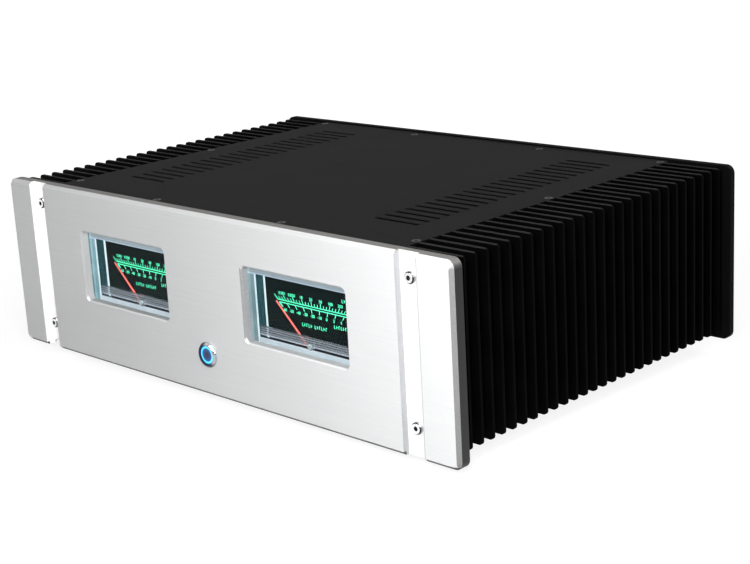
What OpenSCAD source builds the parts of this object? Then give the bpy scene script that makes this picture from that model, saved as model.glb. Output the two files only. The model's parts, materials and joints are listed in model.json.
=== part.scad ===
// Stereo power amplifier with two needle meters and finned sides.
//
// Every module draws in the panel frame: x from the middle, to the right as
// seen from the front, y back from the face of the front panel, z up from the
// lower edge of the panels. in_frame() then moves that to the middle of the
// whole outline, standing on the table.

/* [Overall] */
// Width across the front panel
body_w = 430; // [420:1:470]
// Height of the front and rear panels
panel_h = 124; // [122:1:140]
// Depth from the face of the front panel to the back of the rear panel
body_d = 288; // [284:1:340]
// Height of the panels' lower edge above the table
foot_drop = 8; // [7:0.5:16]

/* [Front panel] */
// Thickness of the front panel
panel_t = 9; // [8:0.5:12]
// Width of the bevel round its front edge
panel_bevel = 2.4; // [0.8:0.1:3.5]
// Corner radius of the front and rear panels
panel_corner_r = 5.5; // [4:0.5:9]
// Distance from the panel's lower edge to the meter windows
window_rise = 44.7; // [42:0.1:48]
// Distance from the windows to the panel's upper edge
window_fall = 29.3; // [26:0.1:34]
// Distance from a window to the upright channel beside it
window_side = 41.5; // [36:0.5:48]
// Distance between the two windows
window_between = 77; // [70:0.5:90]
// Corner radius of a meter window
window_r = 3.5; // [1:0.5:6]
// Bevel round a window's front edge
window_bevel = 1; // [0.3:0.1:1.5]
// Width of the upright channel near each end
groove_w = 16.4; // [12:0.2:20]
// Depth of that channel
groove_deep = 4.8; // [2:0.1:5.5]
// Distance from the panel's end to the channel's centre line
groove_inset = 34.8; // [30:0.1:40]
// Height of the lower panel screws above the panel's lower edge
panel_screw_low = 18; // [16:0.5:24]
// Distance from the upper panel screws to the panel's upper edge
panel_screw_high = 15.5; // [14:0.5:24]

/* [Heatsinks] */
// Distance from the panel's end to the tips of the fins
fin_inset = 4.3; // [2:0.1:10]
// Depth of the fins from root to tip
fin_deep = 42.7; // [34:0.1:46]
// Thickness of a fin
fin_t = 2; // [1.5:0.1:3]
// Distance from one fin to the next
fin_pitch = 10; // [7:0.1:14]
// Radius at the upper and lower corners of the fins' tips
fin_round = 2.5; // [1:0.5:8]
// Thickness of the plate that the fins stand on
sink_base_t = 10; // [8:0.5:14]
// Height of the heatsinks' lower end above the panel's lower edge
sink_low = 7.5; // [5:0.5:10]
// Drop from the panel's upper edge to the top of the heatsinks
sink_top_step = 1.6; // [0.5:0.1:5]

/* [Top and bottom covers] */
// Thickness of the top cover and of the bottom plate
lid_t = 3; // [2:0.5:4]
// Length of a vent slot
vent_len = 36.5; // [20:0.5:50]
// Width of a vent slot
vent_w = 3; // [1:0.1:4]
// Distance from one vent slot to the next
vent_pitch = 9.25; // [6:0.05:10]
// Distance from the heatsinks' inner faces to the middle of a field of slots
vent_side = 36; // [30:0.5:50]
// Distance from the front panel to the first slot
vent_front = 47.9; // [40:0.1:60]
// Room kept between the last slot and the rear panel
vent_back = 31.5; // [25:0.5:50]
// Distance from the front panel to the first cover screws
lid_screw_front = 19; // [8:0.5:30]
// Distance from the rear panel to the last cover screws
lid_screw_back = 6; // [5:0.5:20]
// Distance from the middle to the cover screws in the rails
rail_screw_x = 61.5; // [40:0.5:80]
// Depth of the rails under the cover's front and rear edges
rail_deep = 16; // [10:0.5:20]
// Height of those rails
rail_tall = 8; // [6:0.5:10]

/* [Meters] */
// Depth of the pocket behind each window that locates the meter
pocket_deep = 3; // [1:0.1:4]
// Overlap of the meter behind the window's sides
meter_side_lip = 8; // [6:0.5:9]
// Overlap of the meter above the window
meter_top_lip = 4.8; // [4:0.1:6]
// Reach of the meter below the window
meter_below = 22; // [20:0.5:24]
// Corner radius of the meter's mouldings
meter_r = 3; // [1:0.5:4]
// Depth of the clear cover
glass_deep = 7; // [6:0.1:9]
// Thickness of the clear cover's pane and walls
glass_t = 2.5; // [1.5:0.1:3]
// Depth of the light frame round the dial
light_deep = 8.5; // [7:0.1:12]
// Drop from the window's upper edge to the light frame's opening
light_drop = 8; // [6:0.1:10]
// Thickness of the dial plate
dial_t = 1.5; // [0.8:0.1:2]
// Depth of the black case behind the dial
case_deep = 26; // [24:0.5:34]
// Thickness of the case's rim and floor
case_wall = 3; // [2:0.1:4]
// Height of the tinted strip that hides the needle's pivot
strip_h = 6.1; // [5:0.1:8]
// Thickness of that strip
strip_t = 1.5; // [1:0.1:2]
// Drop from the window's lower edge to the needle's pivot
pivot_drop = 10; // [9:0.1:11]
// Length of the needle's tail, behind its pivot
tail_len = 6.2; // [5:0.1:6.5]
// Angle of the resting needle to the left of upright
needle_rest = 46.4; // [35:0.1:50]
// Width of the needle at its hub
needle_w = 1.5; // [0.8:0.1:2.5]
// Radius of the needle's staff
staff_r = 0.8; // [0.6:0.05:1.2]

/* [Power button] */
// Height of the button's centre above the panel's lower edge
button_z = 29; // [27:0.5:32]
// Radius of the moving cap
cap_r = 6.4; // [6:0.05:8]
// Wall of the barrel round the cap
barrel_wall = 1.4; // [0.8:0.1:2]
// Overlap of the bezel round the barrel
bezel_lip = 0.8; // [0.8:0.1:3]
// Reach of the bezel in front of the panel
bezel_proud = 2; // [1.2:0.1:4]
// Width of the cap's rim outside the lit ring
ring_rim = 0.65; // [0.5:0.05:1.2]
// Width of the lit ring
ring_w = 1.3; // [1:0.05:2.2]
// Drop from the bezel's front to the cap's face
cap_drop = 0.7; // [0.3:0.1:1]
// Travel of the cap
button_travel = 1.5; // [0.8:0.1:2]

/* [Rear panel] */
// Thickness of the rear panel
rear_t = 5; // [3:0.5:6]
// Height of its lower edge above the front panel's
rear_rise = 2; // [0:0.1:4]
// Drop of its upper edge below the front panel's
rear_drop = 0.6; // [0:0.1:1]
// Height of the mains inlet's centre above the panel's lower edge
inlet_z = 62; // [50:0.5:70]
// Distance from the heatsinks' inner faces to an input socket
socket_side = 40; // [34:0.5:48]
// Height of the input sockets
socket_z = 82; // [70:0.5:90]
// Distance from the middle to a speaker's inner terminal
terminal_x = 62; // [50:0.5:66]
// Distance between a speaker's two terminals
terminal_gap = 28; // [22:0.5:32]
// Height of the speaker terminals
terminal_z = 42; // [34:0.5:50]
// Length of a terminal's turning cap
terminal_cap_l = 19; // [14:0.5:24]

/* [Feet] */
// Radius of a foot
foot_r = 20; // [16:0.5:24]
// Distance from the heatsinks' inner faces to a foot's centre
foot_side = 30; // [26:1:48]
// Distance from the front and rear panels to a foot's centre
foot_inset = 38; // [32:1:50]
// Thickness of the rubber ring under a foot
pad_t = 3; // [2:0.5:4]

/* [Inside] */
// Room before and behind the ring transformer
transformer_gap = 12; // [8:0.5:20]
// Radius of the hole through it
transformer_hole_r = 20; // [16:0.5:26]
// Height of the transformer
transformer_h = 56; // [40:0.5:64]
// Radius of a smoothing capacitor
capacitor_r = 16; // [11:0.5:18]
// Gap between two smoothing capacitors
capacitor_gap = 3; // [2:0.5:8]
// Height of a smoothing capacitor
capacitor_h = 70; // [50:0.5:85]
// Length of an amplifier board along the heatsink
amp_board_l = 150; // [120:1:170]
// Height of an amplifier board
amp_board_h = 62; // [50:0.5:64]

/* [Fits] */
// Gap all round a part that drops into a pocket or hole
slip = 0.2; // [0.1:0.05:0.4]
// Gap between a shaft and the bore that it runs in
running = 0.05; // [0.02:0.01:0.1]
// Gap between a screw and the hole that it is driven into
thread = 0.06; // [0.02:0.01:0.1]

/* [Hidden] */
$fn = 64;
// Run of a cutter past the face that it cuts
over = 1;
// Slice that a bevel's hull is drawn from
slice = 0.01;

// Screws: shank radius, head radius and head height of each size
m4_r = 2;
m4_head_r = 3.8;
m4_head_h = 2.4;
m3_r = 1.5;
m3_head_r = 2.9;
m3_head_h = 1.7;
m3_nut_h = 2.4;
m3_nut_r = 3.1;
m4_nut_h = 3.2;
m4_nut_r = 4;
tip_gap = 0.8;

// Chassis
rear_in = body_d - rear_t;
rear_high = panel_h - rear_drop;
sink_len = rear_in - panel_t;
sink_high = panel_h - sink_top_step;
sink_tall = sink_high - sink_low;
fin_tip = body_w / 2 - fin_inset;
fin_root = fin_tip - fin_deep;
sink_in = fin_root - sink_base_t;
fin_end = 4;
fin_count = floor((sink_len - fin_t - 2 * fin_end) / fin_pitch) + 1;
fin_first = panel_t + (sink_len - fin_t - (fin_count - 1) * fin_pitch) / 2;
groove_x = body_w / 2 - groove_inset;
panel_screw_zs = [panel_screw_low, panel_h - panel_screw_high];
boss_deep = 8;
boss_half = 9.8;
boss_edge = 5.5;
floor_z = sink_low + lid_t;
ceiling_z = sink_high - lid_t;
lid_screw_edge = 4;
lid_screw_x = fin_root - lid_screw_edge;
lid_screw_l = 12;
lid_screw_first = panel_t + lid_screw_front;
lid_screw_last = rear_in - lid_screw_back;
lid_screw_ys = [lid_screw_first, (lid_screw_first + lid_screw_last) / 2, lid_screw_last];
rail_ys = [panel_t, rear_in - rail_deep];
vent_x = sink_in - vent_side;
vent_count = floor((sink_len - vent_front - vent_back) / vent_pitch) + 1;

// Meters
window_low = window_rise;
window_high = panel_h - window_fall;
window_h = window_high - window_low;
window_z = (window_low + window_high) / 2;
window_inner = window_between / 2;
window_outer = groove_x - groove_w / 2 - window_side;
window_w = window_outer - window_inner;
window_x = (window_inner + window_outer) / 2;
meter_w = window_w + 2 * meter_side_lip;
meter_low = window_low - meter_below;
meter_high = window_high + meter_top_lip;
meter_h = meter_high - meter_low;
meter_z = (meter_low + meter_high) / 2;
glass_y = panel_t - pocket_deep;
light_y = glass_y + glass_deep;
dial_y = light_y + light_deep;
dial_back = dial_y + dial_t;
case_back = dial_y + case_deep;
case_floor = case_back - case_wall;
ledge = 3;
light_side = 1;
light_r = 1;
light_half = window_w / 2 + light_side;
pivot_z = window_low - pivot_drop;
tail_gap = 2.3;
light_low = pivot_z - tail_len - tail_gap;
light_high = window_high - light_drop;
strip_rise = 1.5;
strip_low = window_low + strip_rise;
strip_in = 0.8;
strip_y = light_y + strip_in;
strip_back = strip_y + strip_t;
apron_gap = 1.2;
apron_high = strip_low - apron_gap;
apron_t = 2;
apron_back = light_y + apron_t;
needle_t = 0.6;
needle_gap = 1.2;
needle_y = dial_y - needle_gap - needle_t;
needle_tip_gap = 2.2;
needle_len = min(light_high - pivot_z, light_half / sin(needle_rest)) - needle_tip_gap;
needle_tip_w = 0.7;
tail_w = 2.6;
hub_r = 2.6;
hub_h = 2.2;
staff_hole_r = staff_r + 1;
movement_w = 30;
movement_up = 26;
movement_rise = 0.5;
movement_low = meter_low + case_wall + ledge + movement_rise;
movement_gap = 3;
movement_y = dial_back + movement_gap;
staff_in = 10;
zero_up = 0.6;
zero_z = strip_low + zero_up;
zero_r = 1.2;
zero_head_r = 1.8;
zero_ear = 0.4;
ear_r = zero_head_r + zero_ear;
zero_head_t = 1.2;
zero_collar_t = 0.8;
zero_slot_w = 0.6;
zero_end_gap = 0.15;
zero_pin_r = 0.4;
lamp_chip = 1;
lamp_board_t = 1.2;
lamp_inset = 20;
lamp_half = meter_w / 2 - lamp_inset;
lamp_count = 5;
lamp_chip_w = 3;
lamp_margin = 1.5;
post_r = 4;
post_stud_l = 4;
post_gap = 0.5;
post_x = meter_w / 2 + post_r + post_gap;
clamp_t = 3;
clamp_h = 12;

// Power button
barrel_r = cap_r + barrel_wall;
bezel_r = barrel_r + bezel_lip;
ring_out_r = cap_r - ring_rim;
ring_in_r = ring_out_r - ring_w;
barrel_tail = 16;
button_back = panel_t + barrel_tail;
cap_face = -bezel_proud + cap_drop;
cap_back = 5;
cap_end_gap = 0.6;
cap_room = button_travel + cap_end_gap;
stem_r = 2.5;
stem_l = 7;
ring_deep = 1.6;
button_nut_wall = 3;
button_nut_r = barrel_r + button_nut_wall;
button_nut_t = 3;
blade_t = 0.6;
blade_w = 2.4;
blade_l = 6;
blade_x = 4;
blade_z = 3;

// Rear panel
inlet_w = 28;
inlet_h = 34;
inlet_deep = 24;
inlet_flange_w = 50;
inlet_flange_h = 38;
inlet_flange_t = 2.5;
inlet_face = body_d + inlet_flange_t;
inlet_screw_x = 20;
mouth_w = 24.2;
mouth_h = 16.4;
mouth_deep = 17;
mouth_up = 6;
mouth_corner = 5;
mouth_r = 1.5;
pin_t = 2;
pin_w = 4;
pin_l = 26;
pin_show = 11;
pin_x = 7;
pin_z = 2;
drawer_w = 21;
drawer_h = 7.4;
drawer_l = 21;
drawer_down = 10.6;
drawer_end = 1.5;
drawer_lip = 1.5;
drawer_lip_t = 1.8;
fuse_r = 2.6;
fuse_l = 17;
socket_x = sink_in - socket_side;
socket_r = 4.2;
socket_flange_r = 6.4;
socket_flange_t = 2;
socket_reach = 9.5;
socket_tail = 10;
socket_wall = 0.9;
socket_bore_r = 1.65;
socket_bore_l = 8;
terminal_r = 3.2;
terminal_cap_r = 8;
terminal_grips = 12;
terminal_grip_r = 1;
terminal_cap_gap = 0.3;
terminal_base_r = 9;
terminal_base_t = 5;
terminal_sleeve_r = 4.8;
terminal_washer_t = 3;
terminal_nut_r = 5.6;
terminal_nut_t = 4;
terminal_tail = 8;
terminal_bore_r = 2.05;
terminal_bore_l = 14;
terminal_face = body_d + terminal_base_t;
terminal_end = terminal_face + terminal_cap_gap + terminal_cap_l;

// Feet
pad_show = 1;
pad_hole_r = 7;
foot_hole_r = 5;
foot_bevel = 1.5;
foot_x = sink_in - foot_side;
foot_head_room = 1;
foot_seat = -foot_drop + pad_t + m4_head_h + foot_head_room;
foot_ys = [panel_t + foot_inset, rear_in - foot_inset];

// Inside
clamp_back = case_back + clamp_t + m3_nut_h;
board_t = 1.6;
standoff_h = 7;
standoff_r = 3;
board_z = floor_z + standoff_h;
capacitor_count = 4;
capacitor_pitch = 2 * capacitor_r + capacitor_gap;
capacitor_bead = 1;
capacitor_bead_z = 5.6;
supply_edge = 5;
supply_lap = 6;
supply_w = capacitor_count * capacitor_pitch + 2 * supply_edge;
supply_d = 2 * (capacitor_r + supply_lap);
supply_gap = 6;
supply_y = rear_in - inlet_deep - supply_gap - supply_d / 2;
supply_inset = 5;
transformer_room = supply_y - supply_d / 2 - clamp_back;
transformer_r = transformer_room / 2 - transformer_gap;
transformer_y = clamp_back + transformer_room / 2;
transformer_pad_t = 2;
transformer_round = 12;
transformer_top = floor_z + transformer_pad_t + transformer_h;
dish_lap = 22;
dish_r = transformer_hole_r + dish_lap;
dish_t = 3;
bolt_r = 4;
bolt_head_r = 6.5;
bolt_head_h = 5;
bolt_nut_h = 5.5;
rectifier_w = 28;
rectifier_h = 9;
rectifier_gap = 6;
rectifier_x = supply_w / 2 + rectifier_w / 2 + rectifier_gap;
rectifier_y = foot_ys[1] - m4_nut_r - rectifier_gap - rectifier_w / 2;
rectifier_blade_t = 0.8;
rectifier_blade_w = 6;
rectifier_blade_l = 9;
rectifier_blade_x = 8.4;
amp_gap = 8;
amp_x = sink_in - amp_gap;
amp_y = (panel_t + rear_in) / 2;
amp_top_gap = 7;
amp_low = ceiling_z - amp_top_gap - amp_board_h;
amp_inset = 6;
transistor_w = 15.6;
transistor_h = 20;
transistor_t = 5;
transistor_pitch = 33;
transistor_count = 4;
transistor_gap = 6;
transistor_low = amp_low - transistor_h - transistor_gap;
leg_pitch = 5.4;
leg_w = 1.2;
leg_t = 0.7;
leg_x = 2.4;
leg_up = 4;
relay_l = 26;
relay_h = 16;
relay_t = 12;

// Outline of the whole amplifier, front to back
reach_front = -bezel_proud;
reach_back = terminal_end;

// Shared shapes

module in_frame() {
    translate([0, -(reach_front + reach_back) / 2, foot_drop]) children();
}

// Rectangle with round corners, about its centre
module rounded(w, h, r) {
    square([w - 2 * r, h], center = true);
    square([w, h - 2 * r], center = true);
    for (sx = [-1, 1], sy = [-1, 1])
        translate([sx * (w / 2 - r), sy * (h / 2 - r)]) circle(r);
}

// Upright plate with round corners, from y0 back to y1
module slab(w, h, r, y0, y1) {
    translate([0, y1, 0]) rotate([90, 0, 0]) linear_extrude(y1 - y0) rounded(w, h, r);
}

// Round bar from y0 back to y1
module bar(r, y0, y1) {
    translate([0, y0, 0]) rotate([-90, 0, 0]) cylinder(r = r, h = y1 - y0);
}

// Hexagonal bar from y0 back to y1
module hex_bar(r, y0, y1) {
    translate([0, y0, 0]) rotate([-90, 0, 0]) cylinder(r = r, h = y1 - y0, $fn = 6);
}

// Socket head screw: the head stands on z = 0, the shank hangs below it
module socket_screw(r, head_r, head_h, l) {
    bevel = head_h / 3;
    difference() {
        union() {
            translate([0, 0, -l]) cylinder(r = r, h = l + head_h / 2);
            cylinder(r = head_r, h = head_h - bevel);
            translate([0, 0, head_h - bevel]) cylinder(r1 = head_r, r2 = head_r - bevel, h = bevel);
        }
        translate([0, 0, head_h * 0.4]) cylinder(r = head_r * 0.38, h = head_h, $fn = 6);
    }
}

// Countersunk screw: the head's face is at z = 0
module flat_screw(r, head_r, head_h, l) {
    difference() {
        union() {
            translate([0, 0, -l]) cylinder(r = r, h = l - head_h / 2);
            translate([0, 0, -head_h]) cylinder(r1 = r, r2 = head_r, h = head_h);
        }
        translate([0, 0, -head_h * 0.6]) cylinder(r = head_r * 0.38, h = head_h, $fn = 6);
    }
}

// Hole for a countersunk screw through a plate of thickness t
module flat_screw_hole(r, head_r, head_h, t) {
    translate([0, 0, -t - over]) cylinder(r = r + slip, h = t + 2 * over);
    translate([0, 0, -head_h]) cylinder(r1 = r + slip, r2 = head_r + slip, h = head_h);
    cylinder(r = head_r + slip, h = over);
}

module at_lid_screws() {
    for (s = [-1, 1], y = lid_screw_ys) translate([s * lid_screw_x, y, 0]) children();
}

module at_rail_screws() {
    for (s = [-1, 1], y = rail_ys) translate([s * rail_screw_x, y + rail_deep / 2, 0]) children();
}

module at_panel_screws() {
    for (s = [-1, 1], z = panel_screw_zs) translate([s * groove_x, 0, z]) children();
}

module at_meter(side) {
    translate([side * window_x, 0, 0]) children();
}

module at_feet() {
    for (s = [-1, 1], y = foot_ys) translate([s * foot_x, y, 0]) children();
}

module at_posts() {
    for (side = [-1, 1], s = [-1, 1])
        translate([side * window_x + s * post_x, 0, meter_z]) children();
}

// Front panel and its screws

module panel_body() {
    inset = 2 * panel_bevel;
    translate([0, 0, panel_h / 2]) hull() {
        slab(body_w - inset, panel_h - inset, panel_corner_r - panel_bevel, 0, slice);
        slab(body_w, panel_h, panel_corner_r, panel_bevel, panel_t);
    }
}

module window_cut() {
    grow = window_bevel + over;
    slab(window_w, window_h, window_r, -over, panel_t + over);
    hull() {
        slab(window_w + 2 * grow, window_h + 2 * grow, window_r + grow, -over, -over + slice);
        slab(window_w, window_h, window_r, window_bevel, window_bevel + slice);
    }
}

module front_panel() color("silver") in_frame() difference() {
    panel_body();
    for (side = [-1, 1]) at_meter(side) {
        translate([0, 0, window_z]) window_cut();
        translate([0, 0, meter_z])
            slab(meter_w + 2 * slip, meter_h + 2 * slip, meter_r + slip, glass_y, panel_t + over);
    }
    for (s = [-1, 1])
        translate([s * groove_x - groove_w / 2, -over, -over])
            cube([groove_w, groove_deep + over, panel_h + 2 * over]);
    at_panel_screws() bar(m4_r + slip, 0, panel_t + over);
    translate([0, 0, button_z]) bar(barrel_r + slip, -over, panel_t + over);
    at_posts() bar(m3_r + thread, panel_t - post_stud_l - tip_gap, panel_t + over);
}

module front_panel_screws() color("gainsboro") in_frame() at_panel_screws()
    translate([0, groove_deep, 0]) rotate([90, 0, 0])
        socket_screw(m4_r, m4_head_r, m4_head_h, panel_t - groove_deep + boss_deep - 2 * tip_gap);

// Heatsinks: an extruded plan of base and fins, with the tips rounded

module sink_plan() {
    translate([sink_in, panel_t]) square([sink_base_t, sink_len]);
    for (i = [0 : fin_count - 1])
        translate([sink_in, fin_first + i * fin_pitch]) square([fin_tip - sink_in, fin_t]);
}

module sink_boss() {
    low = panel_screw_zs[0] - boss_edge;
    high = panel_screw_zs[1] + boss_edge;
    translate([sink_in, 0, low]) cube([groove_x + boss_half - sink_in, boss_deep, high - low]);
}

module heatsink() difference() {
    union() {
        intersection() {
            translate([0, 0, sink_low]) linear_extrude(sink_tall) sink_plan();
            translate([0, 0, (sink_low + sink_high) / 2])
                slab(2 * fin_tip, sink_tall, fin_round, panel_t - over, rear_in + over);
        }
        translate([0, panel_t, 0]) sink_boss();
        translate([0, rear_in - boss_deep, 0]) sink_boss();
    }
    for (z = [sink_low - over, ceiling_z])
        translate([sink_in - over, panel_t - over, z])
            cube([sink_base_t + over, sink_len + 2 * over, lid_t + over]);
    for (y = lid_screw_ys) translate([lid_screw_x, y, 0]) {
        translate([0, 0, sink_high - lid_screw_l - tip_gap])
            cylinder(r = m3_r + thread, h = lid_screw_l);
        translate([0, 0, sink_low + tip_gap]) cylinder(r = m3_r + thread, h = lid_screw_l);
    }
    for (z = panel_screw_zs) translate([groove_x, 0, z]) {
        bar(m4_r + thread, panel_t - over, panel_t + boss_deep - tip_gap);
        bar(m4_r + thread, rear_in - boss_deep + tip_gap, rear_in + over);
    }
    at_amp_standoffs() rotate([0, 90, 0])
        translate([0, 0, amp_gap - over]) cylinder(r = m3_r + thread, h = post_stud_l + tip_gap + over);
}

module heatsink_left() color("#151618") in_frame() mirror([1, 0, 0]) heatsink();
module heatsink_right() color("#151618") in_frame() heatsink();

// Rails that tie the sides together and carry the cover's end screws

module rail(y) difference() {
    translate([-sink_in, y, ceiling_z - rail_tall]) cube([2 * sink_in, rail_deep, rail_tall]);
    for (s = [-1, 1]) translate([s * rail_screw_x, y + rail_deep / 2, ceiling_z - rail_tall - over])
        cylinder(r = m3_r + thread, h = rail_tall + 2 * over);
}

module front_rail() color("dimgray") in_frame() rail(rail_ys[0]);
module rear_rail() color("dimgray") in_frame() rail(rail_ys[1]);

// Top cover and bottom plate

module vent_slot() {
    half = (vent_len - vent_w) / 2;
    square([2 * half, vent_w], center = true);
    for (s = [-1, 1]) translate([s * half, 0]) circle(vent_w / 2);
}

function vent_place(i) = panel_t + vent_front + i * vent_pitch;

// Plan of a cover, with the slots whose places lie between y0 and y1
module lid_plan(y0, y1) difference() {
    translate([-fin_root + slip, panel_t + slip]) square([2 * (fin_root - slip), sink_len - 2 * slip]);
    for (s = [-1, 1], i = [0 : vent_count - 1])
        if (vent_place(i) > y0 && vent_place(i) < y1) translate([s * vent_x, vent_place(i)]) vent_slot();
}

module top_cover() color("#26272a") in_frame() difference() {
    translate([0, 0, ceiling_z]) linear_extrude(lid_t) lid_plan(panel_t, rear_in);
    translate([0, 0, sink_high]) {
        at_lid_screws() flat_screw_hole(m3_r, m3_head_r, m3_head_h, lid_t);
        at_rail_screws() flat_screw_hole(m3_r, m3_head_r, m3_head_h, lid_t);
    }
}

module top_cover_screws() color("#3a3a3c") in_frame() translate([0, 0, sink_high]) {
    at_lid_screws() flat_screw(m3_r, m3_head_r, m3_head_h, lid_screw_l);
    at_rail_screws() flat_screw(m3_r, m3_head_r, m3_head_h, lid_t + rail_tall - tip_gap);
}

module floor_hole(r) {
    translate([0, 0, sink_low - over]) cylinder(r = r, h = lid_t + 2 * over);
}

module bottom_plate() color("#26272a") in_frame() difference() {
    translate([0, 0, sink_low]) linear_extrude(lid_t)
        lid_plan(foot_ys[0] + foot_r + vent_pitch / 2, foot_ys[1] - foot_r - vent_pitch / 2);
    at_feet() floor_hole(m4_r + slip);
    translate([0, 0, sink_low]) mirror([0, 0, 1])
        at_lid_screws() flat_screw_hole(m3_r, m3_head_r, m3_head_h, lid_t);
    translate([0, transformer_y, 0]) floor_hole(bolt_r + slip);
    at_supply_standoffs() floor_hole(m3_r + thread);
    at_rectifier() floor_hole(m3_r + thread);
}

module bottom_plate_screws() color("#3a3a3c") in_frame()
    translate([0, 0, sink_low]) mirror([0, 0, 1])
        at_lid_screws() flat_screw(m3_r, m3_head_r, m3_head_h, lid_screw_l);

// Feet, with a rubber ring let into each

module foot() difference() {
    bottom = -foot_drop + pad_show;
    union() {
        translate([0, 0, bottom + foot_bevel]) cylinder(r = foot_r, h = sink_low - bottom - foot_bevel);
        translate([0, 0, bottom]) cylinder(r1 = foot_r - foot_bevel, r2 = foot_r, h = foot_bevel);
    }
    translate([0, 0, bottom - over])
        cylinder(r = foot_r - 2 * foot_bevel, h = pad_t - pad_show + over);
    translate([0, 0, bottom]) cylinder(r = foot_hole_r, h = foot_seat - bottom);
    translate([0, 0, foot_seat - over]) cylinder(r = m4_r + slip, h = sink_low - foot_seat + 2 * over);
}

module feet() color("#1c1c1e") in_frame() at_feet() foot();

module foot_pads() color("#101010") in_frame() at_feet() translate([0, 0, -foot_drop]) difference() {
    cylinder(r = foot_r - 2 * foot_bevel - slip, h = pad_t);
    translate([0, 0, -over]) cylinder(r = pad_hole_r, h = pad_t + 2 * over);
}

module foot_screws() color("gray") in_frame() at_feet() {
    translate([0, 0, foot_seat]) mirror([0, 0, 1])
        socket_screw(m4_r, m4_head_r, m4_head_h, floor_z + m4_nut_h - foot_seat + tip_gap);
    translate([0, 0, floor_z]) difference() {
        cylinder(r = m4_nut_r, h = m4_nut_h, $fn = 6);
        translate([0, 0, -over]) cylinder(r = m4_r + thread, h = m4_nut_h + 2 * over);
    }
}

// Power button: bezel and barrel, sprung cap with a lit ring, and a nut behind

module button_body() color("#5a5c60") in_frame() translate([0, 0, button_z]) {
    bevel = bezel_proud / 2;
    difference() {
        union() {
            bar(bezel_r, -bezel_proud + bevel, 0);
            translate([0, -bezel_proud, 0]) rotate([-90, 0, 0])
                cylinder(r1 = bezel_r - bevel, r2 = bezel_r, h = bevel);
            bar(barrel_r, -bevel / 2, button_back);
        }
        bar(cap_r + running, -bezel_proud - over, cap_back + cap_room);
        bar(stem_r + running, cap_back, cap_back + stem_l + cap_room);
    }
    for (sx = [-1, 1], sz = [-1, 1])
        translate([sx * blade_x - blade_t / 2, button_back - over, sz * blade_z - blade_w / 2])
            cube([blade_t, blade_l + over, blade_w]);
}

module button_cap() color("#3f454d") in_frame() translate([0, 0, button_z]) difference() {
    union() {
        bar(cap_r, cap_face, cap_back);
        bar(stem_r, cap_back - over, cap_back + stem_l);
    }
    difference() {
        bar(ring_out_r + slip / 2, cap_face - over, cap_face + ring_deep);
        bar(ring_in_r - slip / 2, cap_face - 2 * over, cap_face + ring_deep + over);
    }
}

module button_light_ring() color("#39c6ff") in_frame() translate([0, 0, button_z]) difference() {
    bar(ring_out_r, cap_face, cap_face + ring_deep);
    bar(ring_in_r, cap_face - over, cap_face + ring_deep + over);
}

module button_nut() color("gray") in_frame() translate([0, 0, button_z]) difference() {
    hex_bar(button_nut_r, panel_t, panel_t + button_nut_t);
    bar(barrel_r + thread, panel_t - over, panel_t + button_nut_t + over);
}

// Meters: clear cover, tinted strip, light frame, dial, needle, movement, case

module meter_glass(side) color("#bfe3ea", 0.3) in_frame() at_meter(side) translate([0, 0, meter_z])
    difference() {
        slab(meter_w, meter_h, meter_r, glass_y, light_y);
        slab(meter_w - 2 * glass_t, meter_h - 2 * glass_t, meter_r, glass_y + glass_t, light_y + over);
    }

module meter_strip(side) color("#6d7078") in_frame() at_meter(side) difference() {
    half = light_half - slip;
    union() {
        translate([-half, strip_y, strip_low]) cube([2 * half, strip_t, strip_h]);
        translate([0, 0, zero_z]) bar(ear_r, strip_y, strip_back);
    }
    translate([0, 0, zero_z]) bar(zero_r + running, strip_y - over, strip_back + over);
}

module meter_light_frame(side) color("#7fb4bd") in_frame() at_meter(side) difference() {
    translate([0, 0, meter_z]) slab(meter_w, meter_h, meter_r, light_y, dial_y);
    translate([0, 0, (light_low + light_high) / 2])
        slab(2 * light_half, light_high - light_low, light_r, apron_back, dial_y + over);
    translate([0, 0, (apron_high + light_high) / 2])
        slab(2 * light_half, light_high - apron_high, light_r, light_y - over, dial_y + over);
    translate([0, 0, zero_z]) bar(ear_r + slip, light_y - over, apron_back + over);
}

module meter_dial(side) color("#0b0d0c") in_frame() at_meter(side) difference() {
    rim = 2 * case_wall + 2 * slip;
    translate([0, 0, meter_z]) slab(meter_w - rim, meter_h - rim, meter_r, dial_y, dial_back);
    translate([0, 0, pivot_z]) bar(staff_hole_r, dial_y - over, dial_back + over);
}

// Pointer, hub, tail weight and staff, at rest at the left end of the scale
module meter_needle(side) color("#e03a2c") in_frame() at_meter(side) translate([0, 0, pivot_z])
    rotate([0, -needle_rest, 0]) {
        bar(hub_r, needle_y - (hub_h - needle_t) / 2, needle_y + (hub_h + needle_t) / 2);
        bar(staff_r, needle_y, movement_y + staff_in);
        translate([0, needle_y + needle_t, 0]) rotate([90, 0, 0]) linear_extrude(needle_t) {
            polygon([
                [-needle_w / 2, 0], [needle_w / 2, 0],
                [needle_tip_w / 2, needle_len], [-needle_tip_w / 2, needle_len]
            ]);
            translate([-tail_w / 2, -tail_len]) square([tail_w, tail_len]);
        }
    }

// Closed moving-coil movement, standing on the floor of the case
module meter_movement(side) color("#8a8d92") in_frame() at_meter(side) difference() {
    tall = pivot_z + movement_up - movement_low;
    translate([0, 0, movement_low + tall / 2]) slab(movement_w, tall, meter_r, movement_y, case_floor);
    translate([0, 0, pivot_z]) bar(staff_r + running, movement_y - over, movement_y + staff_in + tip_gap);
}

module meter_case(side) color("#141415") in_frame() at_meter(side) translate([0, 0, meter_z])
    difference() {
        rim = 2 * case_wall;
        hollow = 2 * (case_wall + ledge);
        slab(meter_w, meter_h, meter_r, dial_y, case_back);
        slab(meter_w - rim, meter_h - rim, meter_r, dial_y - over, dial_back);
        slab(meter_w - hollow, meter_h - hollow, meter_r, dial_back - over, case_floor);
    }

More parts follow.
